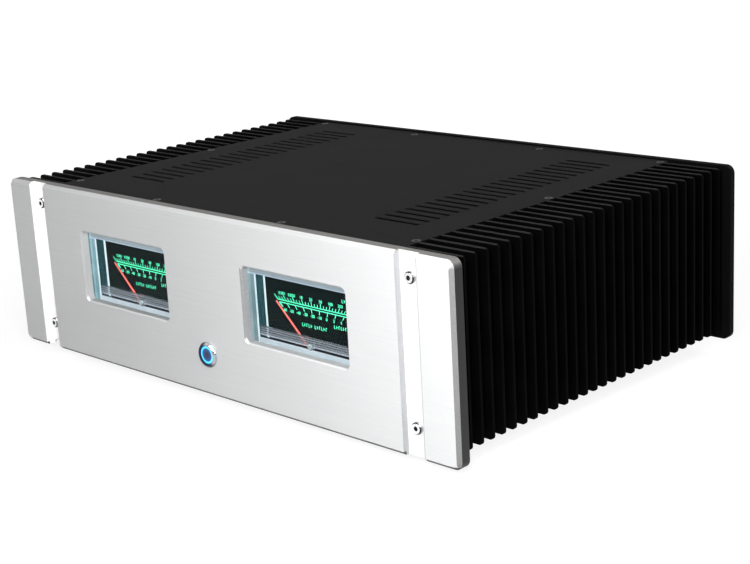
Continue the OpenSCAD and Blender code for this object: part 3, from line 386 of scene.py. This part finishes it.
# Where each surface of the plate lies
panel_low, panel_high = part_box("front_panel")
silver = Finish("silver_anodise", {})
px, py, pz = silver.axes()
channel_x = panel_high.x - CHANNEL_INSET
glass_low, glass_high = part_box("meter_glass_right")
window_x = (glass_low.x + glass_high.x) / 2
window_z = panel_low.z + WINDOW_MIDDLE
in_channel = (py > panel_low.y + SKIN) * (abs(abs(px) - channel_x) < CHANNEL_WIDTH / 2 + SKIN)
window_across = abs(abs(px) - window_x) < WINDOW_WIDTH / 2 + SKIN
window_upright = abs(pz - window_z) < WINDOW_HEIGHT / 2 + SKIN
in_window = (py > panel_low.y + WINDOW_BEVEL) * window_across * window_upright
on_sill = in_window * (pz < window_z - WINDOW_HEIGHT / 2 + SKIN)
on_floor = in_channel * (py > panel_low.y + CHANNEL_DEEP - SKIN)
behind_bevel = py > panel_low.y + EDGE_BEVEL - SKIN
on_end_bevel = (abs(px) > panel_high.x - EDGE_BEVEL + SKIN) * (1.0 - behind_bevel)
on_foot_bevel = (pz < panel_low.z + EDGE_BEVEL - SKIN) * (1.0 - behind_bevel)
half_height = (panel_high.z - panel_low.z) / 2
near_end = abs(px) > panel_high.x - CORNER_ROUND
near_long_edge = abs(pz - panel_low.z - half_height) > half_height - CORNER_ROUND
beside_channel = (near_end + near_long_edge) * (1.0 - in_channel)
on_rim = behind_bevel * (beside_channel + (pz > panel_high.z - TOP_SKIN) > 0.5)
up_the_round = (pz - (panel_high.z - CORNER_ROUND)) / CORNER_ROUND
on_left = px < 0.0
is_wall = in_window + in_channel
from_window = px - window_x * (1.0 - 2.0 * on_left)
window_left = (from_window < -WINDOW_WIDTH / 2 - SKIN) * (from_window > -WINDOW_WIDTH / 2 - WINDOW_BEVEL)
on_slope = (py > panel_low.y + SKIN) * (py < panel_low.y + WINDOW_BEVEL)
on_left_bevel = window_left * on_slope * window_upright
past_channel = px - channel_x - CHANNEL_WIDTH / 2
on_channel_edge = (past_channel > SKIN) * (past_channel < EDGE_SHADE_WIDTH) * (py < panel_low.y + EDGE_SHADE_WIDTH)

# The tone of each surface
blast = silver.grain(2600, 2600, 2600, detail=2.0)
brushing = silver.grain(14, 700, 1900)
haze = silver.grain(9, 9, 9)
mottle = 0.35 * blast + 0.35 * brushing + 0.3 * haze
skin = mottle.between((0.68, 0.685, 0.69), (0.77, 0.775, 0.78))
milled = brushing.between((0.9, 0.9, 0.9), (0.96, 0.96, 0.955))
# Painted shade on the walls of the right half, and a painted highlight on the left channel's walls
wall = brushing.between((0.38, 0.385, 0.4), (0.455, 0.46, 0.475))
left_channel_highlight = brushing.between((0.93, 0.93, 0.93), (0.98, 0.98, 0.975))
# Painted shade on the windows' left bevels and on their sills, a different amount on each side
right_shade = brushing.between((0.24, 0.242, 0.248), (0.29, 0.292, 0.3))
left_shade = brushing.between((0.54, 0.54, 0.54), (0.61, 0.61, 0.61))
right_sill_shade = brushing.between((0.62, 0.625, 0.635), (0.68, 0.685, 0.695))
left_sill_shade = brushing.between((0.49, 0.493, 0.5), (0.55, 0.553, 0.56))
# Painted shade on the end and foot bevels, the end faces and the top face, and a dark line by the right
# channel's edge
end_bevel_shade = brushing.between((0.19, 0.19, 0.19), (0.245, 0.245, 0.245))
foot_bevel_shade = brushing.between((0.02, 0.02, 0.02), (0.03, 0.03, 0.03))
end_face_shade = brushing.between((0.006, 0.006, 0.006), (0.01, 0.0098, 0.0095))
top_face_shade = brushing.between((0.19, 0.185, 0.175), (0.27, 0.265, 0.255))
channel_edge_shade = brushing.between((0.5, 0.5, 0.5), (0.56, 0.56, 0.56))

# All of them on one plate
slopes = on_left_bevel.blend(skin, on_left.blend(right_shade, left_shade))
left_walls = in_channel.blend(skin, left_channel_highlight)
sides = is_wall.blend(slopes, on_left.blend(wall, left_walls))
edges = on_foot_bevel.blend(on_end_bevel.blend(sides, end_bevel_shade), foot_bevel_shade)
sills = on_sill.blend(edges, on_left.blend(right_sill_shade, left_sill_shade))
plate = on_channel_edge.blend(on_floor.blend(sills, milled), channel_edge_shade)
# The rim goes from the painted shade of the ends to that of the top face, up the corner round
silver.feed("Base Color", on_rim.blend(plate, up_the_round.blend(end_face_shade, top_face_shade)))
mirrored_floor = on_floor * on_left * (1.0 - on_rim)
silver.feed("Metallic", 0.2 + 0.8 * mirrored_floor - 0.2 * in_window)
silver.feed("Roughness", 0.38 + 0.1 * blast + 0.06 * brushing - 0.2 * mirrored_floor)
silver.bump(0.6 * blast + 0.4 * brushing, depth=0.02 * MM, strength=0.5)
silver.put_on(*pieces_of("silver_panel"))
soften(pieces_of("silver_panel"), width=0.2 * MM)


# Power button
# A brass barrel, chromed and polished, held by a nut behind the panel. Its bezel carries a painted
# reflection, bright at the upper right and dark at the lower left. Its sprung cap has a translucent
# ring that a lamp inside lights blue, and a painted blue glow towards that ring.

CAP_MIDDLE = 4.45 * MM
RING_WIDTH = 1.3 * MM
# The way to the bezel's painted highlight, across and up, and where the tone changes round it
HIGHLIGHT_SIDE = Vector((0.88, 0.475))
HIGHLIGHT_FROM = 0.1
HIGHLIGHT_SPAN = 0.4
UNLIT = (0.0, 0.0, 0.0)
CAP_GLOW = (0.0, 0.075, 0.34)
INNER_BLUE = (0.0, 0.1, 0.4)
BRIGHT_CYAN = (0.1, 0.85, 1.0)
OUTER_CYAN = (0.02, 0.45, 0.7)

cap_low, cap_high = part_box("button_cap")
cap_height = (cap_low.z + cap_high.z) / 2


def from_cap_axis(finish):
    """The distance from the button's axis."""
    across, _, up = finish.axes()
    return across.distance(up - cap_height)


button_plate = Finish("button_plate", {"Metallic": 1.0, "Coat Weight": 0.3})
polish = button_plate.grain(300, 300, 300)
bezel_x, _, bezel_z = button_plate.axes()
# Painted reflection: bright chrome towards the upper right, dark navy towards the lower left
bezel_side = HIGHLIGHT_SIDE.x * bezel_x + HIGHLIGHT_SIDE.y * (bezel_z - cap_height)
towards_highlight = (bezel_side / from_cap_axis(button_plate) - HIGHLIGHT_FROM) / HIGHLIGHT_SPAN
bezel_reflected_dark = polish.between((0.012, 0.016, 0.036), (0.026, 0.032, 0.06))
bezel_highlight = polish.between((0.4, 0.415, 0.44), (0.5, 0.515, 0.54))
button_plate.feed("Base Color", towards_highlight.blend(bezel_reflected_dark, bezel_highlight))
button_plate.feed("Roughness", 0.05 + 0.05 * polish)
button_plate.put_on(*pieces_of("button_metal"))
soften(pieces_of("button_metal"), width=0.2 * MM)

cap_satin = Finish("cap_satin", {"Metallic": 0.6, "Emission Strength": 1.0})
spun = cap_satin.grain(900, 900, 900)
towards_ring = from_cap_axis(cap_satin) / CAP_MIDDLE
# Painted glow: the cap turns blue towards its rim, for the light of the ring beside it
cap_satin.feed("Emission Color", towards_ring.ramp((0.35, UNLIT), (1.0, CAP_GLOW)))
cap_satin.feed("Base Color", spun.between((0.035, 0.042, 0.075), (0.05, 0.06, 0.105)))
cap_satin.feed("Roughness", 0.3 + 0.15 * spun)
cap_satin.put_on(*pieces_of("button_cap"))
soften(pieces_of("button_cap"), width=0.15 * MM)

lit_ring = Finish("lit_ring", {"Emission Strength": 1.0})
glow = lit_ring.grain(250, 250, 250)
lit_ring.feed("Base Color", glow.between((0.1, 0.6, 0.75), (0.15, 0.75, 0.9)))
across_ring = (from_cap_axis(lit_ring) - CAP_MIDDLE) / RING_WIDTH + 0.1 * (glow - 0.5)
lit_ring.feed("Emission Color", across_ring.ramp((0.25, INNER_BLUE), (0.6, BRIGHT_CYAN), (1.0, OUTER_CYAN)))
lit_ring.put_on(*pieces_of("blue_light"))


# Meter cases and movements
# Each meter is a shallow moulded case on posts behind the panel. A closed moving coil
# movement stands in it, and a row of lamps lies on the clear frame above the dial.

steel_can = Finish("steel_can", {"Metallic": 1.0})
rolled = steel_can.grain(20, 600, 600)
steel_can.feed("Base Color", rolled.between((0.4, 0.41, 0.43), (0.52, 0.53, 0.55)))
steel_can.feed("Roughness", 0.3 + 0.2 * rolled)
steel_can.put_on(*pieces_of("movement"))

lamp_white = Finish("lamp_white", {"Emission Strength": 1.2})
diode = lamp_white.grain(400, 400, 400)
lamp_white.feed("Base Color", diode.between((0.75, 0.8, 0.8), (0.88, 0.92, 0.92)))
lamp_white.feed("Emission Color", diode.between((0.7, 0.85, 0.9), (0.85, 0.95, 1.0)))
lamp_white.put_on(*pieces_of("lamp_board"))


# Dials
# A black printed plate behind the needle, with a straight double line, a row of numbers on
# each side of it, and fine ticks that all point at the needle's pivot. The green print carries a painted
# glow for the lamps' light on it.

PRINT_THICK = 0.08 * MM
PRINT_SUNK = 0.01 * MM
LINE_HIGH = 34.2 * MM
LINE_HALF = 35.2 * MM
LINE_GAP = 1.55 * MM
LINE_WIDE = 0.52 * MM
TICK_WIDE = 0.45 * MM
UPPER_NUMBERS = ("0.001", "0.050", "10", "20", "50", "100", "200", "400", "600")
UPPER_FIRST = -27.6 * MM
UPPER_STEP = 7.53 * MM
UPPER_HIGH = 39.4 * MM
UPPER_FINE = 3
UPPER_TICK = 38.1 * MM
FINE_TICK = 37.1 * MM
LOWER_NUMBERS = ("-60", "-50", "-40", "-30", "-20", "-10", "0", "2", "4", "6")
LOWER_FIRST = -35.85 * MM
LOWER_STEP = 7.48 * MM
LOWER_HIGH = 28.8 * MM
LOWER_TICK = 30.7 * MM
END_TICKS = (30.6 * MM, 38.0 * MM)
NUMBER_SIZE = 2.9 * MM
# Each row of marks: where its first stroke stands, how many it has, and its height on the dial
LABELS = ((-14.7 * MM, 5, 22.0 * MM), (-3.4 * MM, 6, 22.0 * MM),
          (14.0 * MM, 6, 25.3 * MM), (22.0 * MM, 3, 43.2 * MM))
LABEL_STEP = 1.95 * MM
LABEL_HIGH = 2.1 * MM
LABEL_STROKE = 0.4 * MM
LABEL_ARM = 0.85 * MM

dial_black = Finish("dial_black", {"Specular IOR Level": 0.03})
tooth = dial_black.grain(900, 900, 900)
dial_black.feed("Base Color", tooth.between((0.002, 0.005, 0.005), (0.005, 0.009, 0.009)))
dial_black.feed("Roughness", 0.5 + 0.2 * tooth)
dial_black.put_on(*pieces_of("dial"))

# Painted glow: the print shines as if lit by the lamps above
green_print = Finish("green_print", {"Emission Strength": 1.2})
ink = green_print.grain(700, 700, 700)
green_print.feed("Base Color", ink.between((0.04, 0.45, 0.25), (0.06, 0.6, 0.33)))
green_print.feed("Emission Color", ink.between((0.05, 0.64, 0.32), (0.09, 0.84, 0.46)))


def stroke(mesh, start, end, wide):
    """A thin printed bar between two points of the dial, given across and up from the pivot."""
    middle = (start + end) / 2
    along = end - start
    turn = Matrix.Rotation(-math.atan2(along.y, along.x), 4, "Y")
    size = Matrix.Diagonal((along.length, PRINT_THICK, wide, 1.0))
    place = Matrix.Translation((middle.x, 0.0, middle.y))
    bmesh.ops.create_cube(mesh, size=1.0, matrix=place @ turn @ size)


def radial(mesh, across, first, last, wide):
    """A bar on the line from the pivot through a point of the scale, between two heights."""
    slope = Vector((across / LINE_HIGH, 1.0))
    stroke(mesh, slope * first, slope * last, wide)


def number(mesh, digits, across, high):
    """One printed number, centred at a point of the dial."""
    curve = bpy.data.curves.new("number", "FONT")
    curve.body = digits
    curve.size = NUMBER_SIZE
    curve.align_x = "CENTER"
    curve.align_y = "CENTER"
    curve.extrude = PRINT_THICK / 2
    holder = bpy.data.objects.new("number", curve)
    bpy.context.scene.collection.objects.link(holder)
    shape = bpy.data.meshes.new_from_object(holder.evaluated_get(bpy.context.evaluated_depsgraph_get()))
    bpy.data.objects.remove(holder)
    shape.transform(Matrix.Translation((across, 0.0, high)) @ Matrix.Rotation(math.radians(90), 4, "X"))
    mesh.from_mesh(shape)
    bpy.data.meshes.remove(shape)


def scale_print():
    """The whole print of one dial, about the needle's pivot."""
    mesh = bmesh.new()
    lower_line = LINE_HIGH - LINE_GAP / 2
    upper_line = LINE_HIGH + LINE_GAP / 2
    # The double line
    for high in (lower_line, upper_line):
        half = LINE_HALF * high / LINE_HIGH
        stroke(mesh, Vector((-half, high)), Vector((half, high)), LINE_WIDE)
    # The upper numbers with their ticks, and the fine ticks between, from one step before the first
    for i in range(-1, len(UPPER_NUMBERS)):
        across = UPPER_FIRST + i * UPPER_STEP
        if i >= 0:
            number(mesh, UPPER_NUMBERS[i], across * UPPER_HIGH / LINE_HIGH, UPPER_HIGH)
            radial(mesh, across, upper_line, UPPER_TICK, TICK_WIDE)
        for k in range(1, UPPER_FINE):
            fine = across + k * UPPER_STEP / UPPER_FINE
            if fine < LINE_HALF:
                radial(mesh, fine, upper_line, FINE_TICK, TICK_WIDE)
    # The lower numbers with their ticks
    for i, digits in enumerate(LOWER_NUMBERS):
        across = LOWER_FIRST + i * LOWER_STEP
        number(mesh, digits, across * LOWER_HIGH / LINE_HIGH, LOWER_HIGH)
        radial(mesh, across, LOWER_TICK, lower_line, TICK_WIDE)
    # The two ends of the scale
    for end in (-LINE_HALF, LINE_HALF):
        radial(mesh, end, END_TICKS[0], lower_line, LINE_WIDE)
        radial(mesh, end, upper_line, END_TICKS[1], LINE_WIDE)
    # The rows of plain marks, each an upright with a short arm
    for first, count, high in LABELS:
        for k in range(count):
            foot = Vector((first + k * LABEL_STEP, high - LABEL_HIGH / 2))
            stroke(mesh, foot, foot + Vector((0.0, LABEL_HIGH)), LABEL_STROKE)
            arm = foot + Vector((0.0, LABEL_HIGH * (k % 3) / 2))
            stroke(mesh, arm, arm + Vector((LABEL_ARM, 0.0)), LABEL_STROKE)
    return mesh


pivots = {}
for joint in frame["joints"]:
    if joint["name"].startswith("needle_swing_"):
        pivots[joint["name"].removeprefix("needle_swing_")] = Vector(joint["pos_m"])

for side, pivot in pivots.items():
    print_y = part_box("meter_dial_" + side)[0].y - PRINT_THICK / 2 + PRINT_SUNK
    drawn = scale_print()
    bmesh.ops.translate(drawn, verts=drawn.verts, vec=(pivot.x, print_y, pivot.z))
    shape = bpy.data.meshes.new("scale_print_" + side)
    drawn.to_mesh(shape)
    drawn.free()
    scale = bpy.data.objects.new("scale_print_" + side, shape)
    bpy.context.scene.collection.objects.link(scale)
    green_print.put_on(scale)
    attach(scale, "chassis")


# Needles
# A thin aluminium pointer with its hub and tail weight, on the movement's staff. It is painted
# a light red, with a painted glow for the light of the lamps above.

needle_paint = Finish("needle_paint", {"Emission Strength": 0.6})
flake = needle_paint.grain(600, 600, 600)
needle_paint.feed("Base Color", flake.between((0.62, 0.06, 0.05), (0.76, 0.09, 0.075)))
# Painted glow for the lamps' light on the needle
needle_paint.feed("Emission Color", flake.between((0.7, 0.13, 0.115), (0.86, 0.18, 0.165)))
needle_paint.feed("Roughness", 0.35 + 0.15 * flake)
needle_paint.put_on(*pieces_of("needle_red"))


# Light frames, strips, covers and zero screws
# The dial sits behind a clear frame that the lamps light from above. Its glow is painted: white on its
# sawn edges and apron, teal and grey on its faces, brighter on the left meter, pale low in its top band,
# with painted shade behind the apron. A smoky lined strip above the apron hides the needle's pivot and
# holds the grey zero screw, and a clear moulded cover closes the front.

FRAME_OPENING_HALF = 47.0 * MM
FRONT_GLOW = 0.7 * MM
BACK_GLOW = 1.6 * MM
TOP_BAND = 13.2 * MM
TOP_FADE = 13.0 * MM
STRIP_HEIGHT = 6.1 * MM
APRON_GAP = 1.2 * MM
RIB_PITCH = 1.5 * MM
LOWER_EDGE = 1.2 * MM
COVER_SIDE = 51.4 * MM
BEHIND_GLOW = (0.0, 0.002, 0.004)
BEHIND_SHADE = (0.002, 0.003, 0.004)
LOWER_GLOW = (0.13, 0.14, 0.155)

# The light frame: where each surface lies, and its glow
frame_low, frame_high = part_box("meter_light_frame_left")
strip_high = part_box("meter_strip_left")[1]
edge_lit = Finish("edge_lit_acrylic", {"Emission Strength": 1.0, "Specular IOR Level": 0.3})
fx, fy, fz = edge_lit.axes()
from_front = fy - frame_low.y
from_back = frame_high.y - fy
ripple = edge_lit.grain(60, 500, 60)
across = abs(abs(fx) - window_x)
on_front = from_front < SKIN
on_lip = on_front * (across < FRAME_OPENING_HALF + FRONT_GLOW)
on_wall = (1.0 - on_front) * (across < FRAME_OPENING_HALF + 2 * SKIN)
at_edge = on_lip + on_wall * ((from_front < FRONT_GLOW) + (from_back < BACK_GLOW))
below_gap = (across < FRAME_OPENING_HALF - SKIN) * (fz < strip_high.z - STRIP_HEIGHT - APRON_GAP + SKIN)
on_apron = on_front * below_gap
behind_apron = (1.0 - on_front) * below_gap
high_up = (fz - (frame_high.z - TOP_FADE)) / TOP_FADE
# Painted glow over the whole frame, and painted shade behind the apron
teal = ripple.between((0.006, 0.025, 0.03), (0.015, 0.055, 0.065))
white_edge = ripple.between((0.68, 0.84, 0.88), (0.9, 0.98, 1.0))
top_band = high_up.ramp((0.0, (0.55, 0.64, 0.8)), (0.1, (0.31, 0.34, 0.375)), (0.8, (0.28, 0.3, 0.31)))
left_face_glow = ripple.between((0.17, 0.28, 0.32), (0.27, 0.42, 0.47))
right_face_glow = ripple.between((0.14, 0.19, 0.21), (0.24, 0.3, 0.33))
face_glow = (fx < 0.0).blend(right_face_glow, left_face_glow)
apron_white = ripple.between((0.48, 0.52, 0.58), (0.63, 0.66, 0.71))
is_top = fz > frame_high.z - TOP_BAND
plain_face = on_front.blend(teal, face_glow)
lit_face = on_apron.blend((at_edge > 0.5).blend(plain_face, white_edge), apron_white)
edge_lit.feed("Emission Color", behind_apron.blend(is_top.blend(lit_face, top_band), BEHIND_GLOW))
acrylic = ripple.between((0.012, 0.035, 0.04), (0.025, 0.06, 0.066))
edge_lit.feed("Base Color", behind_apron.blend(acrylic, BEHIND_SHADE))
edge_lit.feed("Roughness", 0.2 + 0.2 * ripple)
edge_lit.put_on(*pieces_of("light_guide"))

# The strip: dark and clear lines, with a painted glow on its lower edge and in its grooves
smoky = Finish("smoky_strip", {"Transmission Weight": 0.86, "IOR": 1.1, "Emission Strength": 1.0})
rib_z = smoky.axes()[2]
ribs = rib_z.math("PINGPONG", rib_z, RIB_PITCH / 2) / (RIB_PITCH / 2)
smoky.feed("Base Color", ribs.ramp((0.2, (0.27, 0.29, 0.32)), (0.8, (0.66, 0.7, 0.77))))
on_lower_edge = rib_z < strip_high.z - STRIP_HEIGHT + LOWER_EDGE
lit_groove = ribs.between(UNLIT, (0.058, 0.062, 0.069))
smoky.feed("Emission Color", on_lower_edge.blend(lit_groove, LOWER_GLOW))
smoky.feed("Roughness", 0.15 + 0.08 * smoky.grain(25, 25, 400))
smoky.put_on(*pieces_of("tinted"))

# The cover: clear, with a painted glow on its sides
clear_acrylic = Finish("clear_acrylic", {"Transmission Weight": 1.0, "IOR": 1.07, "Roughness": 0.0,
                                         "Emission Strength": 1.0})
tint = clear_acrylic.grain(30, 30, 30)
clear_acrylic.feed("Base Color", tint.between((0.9, 0.955, 0.965), (0.94, 0.975, 0.98)))
on_side = abs(abs(clear_acrylic.axes()[0]) - window_x) > COVER_SIDE
side_glow = tint.between((0.07, 0.108, 0.12), (0.09, 0.135, 0.148))
clear_acrylic.feed("Emission Color", on_side.blend(UNLIT, side_glow))
clear_acrylic.put_on(*pieces_of("clear"))

# The zero screw
grey_moulding = Finish("grey_moulding", {})
speck = grey_moulding.grain(600, 600, 600)
grey_moulding.feed("Base Color", speck.between((0.3, 0.36, 0.38), (0.4, 0.46, 0.48)))
grey_moulding.feed("Roughness", 0.5 + 0.15 * speck)
grey_moulding.put_on(*pieces_of("grey_plastic"))


# Screws and brackets
# The front panel has bright socket heads in its channels, with painted shade in their sockets, on
# the ring round each face and on their sides. The rest of the case has blackened screws.
# What is inside, the nuts, clamps, posts and the transformer's dish, is zinc plated.

HEAD_RADIUS = 3.8 * MM
HEAD_FACE = 3.05 * MM
HEAD_SIDE = 3.7 * MM
HEAD_SOCKET = 1.5 * MM

screws_low, screws_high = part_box("front_panel_screws")
screw_steel = Finish("screw_steel", {"Metallic": 1.0})
buff = screw_steel.grain(900, 900, 900)
head_x, _, head_z = screw_steel.axes()
screw_rise = (screws_high.z - screws_low.z) / 2 - HEAD_RADIUS
off_x = abs(head_x) - (screws_high.x - HEAD_RADIUS)
off_z = abs(head_z - (screws_low.z + screws_high.z) / 2) - screw_rise
off_axis = off_x.distance(off_z)
# Painted shade: dark sockets and face rings, mid grey sides
on_head_face = (off_axis > HEAD_SOCKET) * (off_axis < HEAD_FACE)
bare_steel = buff.between((0.85, 0.85, 0.86), (0.95, 0.95, 0.96))
socket_and_ring_shade = buff.between((0.02, 0.02, 0.021), (0.05, 0.05, 0.051))
head_side_shade = buff.between((0.35, 0.35, 0.35), (0.45, 0.45, 0.45))
head_steel = on_head_face.blend(socket_and_ring_shade, bare_steel)
screw_steel.feed("Base Color", (off_axis > HEAD_SIDE).blend(head_steel, head_side_shade))
screw_steel.feed("Roughness", 0.14 + 0.14 * buff)
screw_steel.put_on(*pieces_of("bright_screw"))
soften(pieces_of("bright_screw"), width=0.2 * MM)

blackened = Finish("blackened_steel", {"Metallic": 0.8})
oxide = blackened.grain(700, 700, 700)
blackened.feed("Base Color", oxide.between((0.02, 0.02, 0.021), (0.048, 0.048, 0.05)))
blackened.feed("Roughness", 0.28 + 0.2 * oxide)
blackened.put_on(*pieces_of("black_screw"))
soften(pieces_of("black_screw"), width=0.15 * MM)

zinc = Finish("zinc_plate", {"Metallic": 1.0})
spangle = zinc.grain(160, 160, 160, detail=0.0)
zinc.feed("Base Color", spangle.between((0.5, 0.51, 0.54), (0.62, 0.62, 0.6)))
zinc.feed("Roughness", 0.25 + 0.2 * spangle)
zinc.put_on(*pieces_of("zinc_steel"))


# Stage, light and camera
# A white floor that glows, a little less near the case, and carries a painted shadow under it. A small
# key lamp stands at the right front, a weak one before the panel, a soft one above and a strong one
# behind, and polished metal mirrors a softbox. The camera stands where the photograph was taken from.

FLOOR_HALF = 9.0
WHITE = (1.0, 1.0, 1.0)
FLOOR_GLOW = (0.88, 0.88, 0.88)
FLOOR_MIRRORED = (0.78, 0.78, 0.78)
CARD_EDGE = -0.36
CARD_FADE = 0.1
GLOW_NEAR = 0.35
GLOW_FAR = 0.9
SHADE_X = 0.165
SHADE_Y = 0.11
SHADE_FADE = 0.015
SHADOW_UNDER_CASE = (0.02, 0.02, 0.02)
SKY_LIGHT = 0.1
SKY_MIRRORED = 0.5
SOFTBOX_MIRRORED = 13.0
SOFTBOX_SPREAD = math.radians(22)
SOFTBOX_TOWARDS = Vector((0.19, -0.71, 0.68)).normalized()

floor_mesh = bmesh.new()
bmesh.ops.create_grid(floor_mesh, x_segments=1, y_segments=1, size=FLOOR_HALF)
floor_shape = bpy.data.meshes.new("floor")
floor_mesh.to_mesh(floor_shape)
floor_mesh.free()
floor = bpy.data.objects.new("floor", floor_shape)
bpy.context.scene.collection.objects.link(floor)
paper = Finish("floor_paper", {"Base Color": (0.3, 0.3, 0.3, 1.0), "Roughness": 0.9,
                               "Specular IOR Level": 0.0, "Emission Strength": 1.0})
seen, glossy, passed = [paper.place.node("ShaderNodeLightPath", {}, {}, kind) for kind in
                        ("Is Camera Ray", "Is Glossy Ray", "Is Transmission Ray")]
floor_x, floor_y, _ = paper.axes()
fade = (floor_x.distance(floor_y) - GLOW_NEAR) / (GLOW_FAR - GLOW_NEAR)
glow_seen = seen.blend(UNLIT, fade.blend(FLOOR_GLOW, WHITE))
off_card = (floor_x - CARD_EDGE) / CARD_FADE
glow_mirrored = off_card.blend(WHITE, FLOOR_MIRRORED)
open_glow = (glossy + passed > 0.5).blend(glow_seen, glow_mirrored)
# Painted shadow under the case: the floor's glow drops to near black there
inward = floor_x.math("MINIMUM", SHADE_X - abs(floor_x), SHADE_Y - abs(floor_y))
paper.feed("Emission Color", (inward / SHADE_FADE).blend(open_glow, SHADOW_UNDER_CASE))
paper.put_on(floor)

world = bpy.data.worlds.new("studio")
bpy.context.scene.world = world
world.use_nodes = True
sky = world.node_tree.nodes["Background"]
sky.inputs["Color"].default_value = (*WHITE, 1.0)
sky_start = Signal(world.node_tree)
looked_at = sky_start.node("ShaderNodeLightPath", {}, {}, "Is Camera Ray")
mirrored = sky_start.node("ShaderNodeLightPath", {}, {}, "Is Glossy Ray")
direction = sky_start.node("ShaderNodeTexCoord", {}, {}, "Generated")
beside = direction.node("ShaderNodeVectorMath", {"operation": "DOT_PRODUCT"},
                        {0: direction, 1: SOFTBOX_TOWARDS}, "Value")
in_softbox = beside > math.cos(SOFTBOX_SPREAD)
sky_seen = SKY_MIRRORED + (SOFTBOX_MIRRORED - SKY_MIRRORED) * in_softbox
sky_strength = SKY_LIGHT + (sky_seen - SKY_LIGHT) * mirrored + (1.0 - SKY_LIGHT) * looked_at
world.node_tree.links.new(sky_strength.socket, sky.inputs["Strength"])


def lamp(name, place, aim, side, power):
    """A soft square lamp at a place, turned to face a point."""
    light = bpy.data.lights.new(name, "AREA")
    light.shape = "SQUARE"
    light.size = side
    light.energy = power
    holder = bpy.data.objects.new(name, light)
    bpy.context.scene.collection.objects.link(holder)
    turn = (Vector(place) - Vector(aim)).to_track_quat("Z", "Y").to_matrix().to_4x4()
    holder.matrix_world = Matrix.Translation(place) @ turn
    holder.visible_camera = False


lamp("key_lamp", place=(0.45, -0.5, 0.3), aim=(0.15, -0.15, 0.08), side=0.2, power=3.9)
lamp("front_lamp", place=(-0.4, -1.25, 0.3), aim=(0.15, -0.15, 0.08), side=0.5, power=0.35)
lamp("top_lamp", place=(-0.9, -0.65, 1.2), aim=(0.0, 0.0, 0.1), side=1.0, power=2.5)
lamp("back_lamp", place=(0.9, 1.7, 1.4), aim=(0.0, 0.1, 0.06), side=0.9, power=14.0)

PHOTO_WIDTH = 750.0
PHOTO_HEIGHT = 564.0
FOCAL_PIXELS = 1547.4
AXIS_PIXEL = (334.5, 268.8)
AZIMUTH = math.radians(46.06)
ELEVATION = math.radians(15.29)
ROLL = math.radians(-3.63)
DISTANCE = 1.1306
TARGET = Vector((-0.0318, -0.0052, 0.0549))

view = bpy.data.cameras.new("camera")
view.sensor_fit = "HORIZONTAL"
view.lens = FOCAL_PIXELS / PHOTO_WIDTH * view.sensor_width
view.shift_x = (PHOTO_WIDTH / 2 - AXIS_PIXEL[0]) / PHOTO_WIDTH
view.shift_y = (AXIS_PIXEL[1] - PHOTO_HEIGHT / 2) / PHOTO_WIDTH
camera = bpy.data.objects.new("camera", view)
bpy.context.scene.collection.objects.link(camera)
facing = Matrix.Rotation(AZIMUTH, 4, "Z") @ Matrix.Rotation(math.pi / 2 - ELEVATION, 4, "X")
away = facing @ Vector((0.0, 0.0, DISTANCE))
camera.matrix_world = Matrix.Translation(TARGET + away) @ facing @ Matrix.Rotation(ROLL, 4, "Z")
bpy.context.scene.camera = camera
bpy.context.scene.view_settings.view_transform = "Standard"
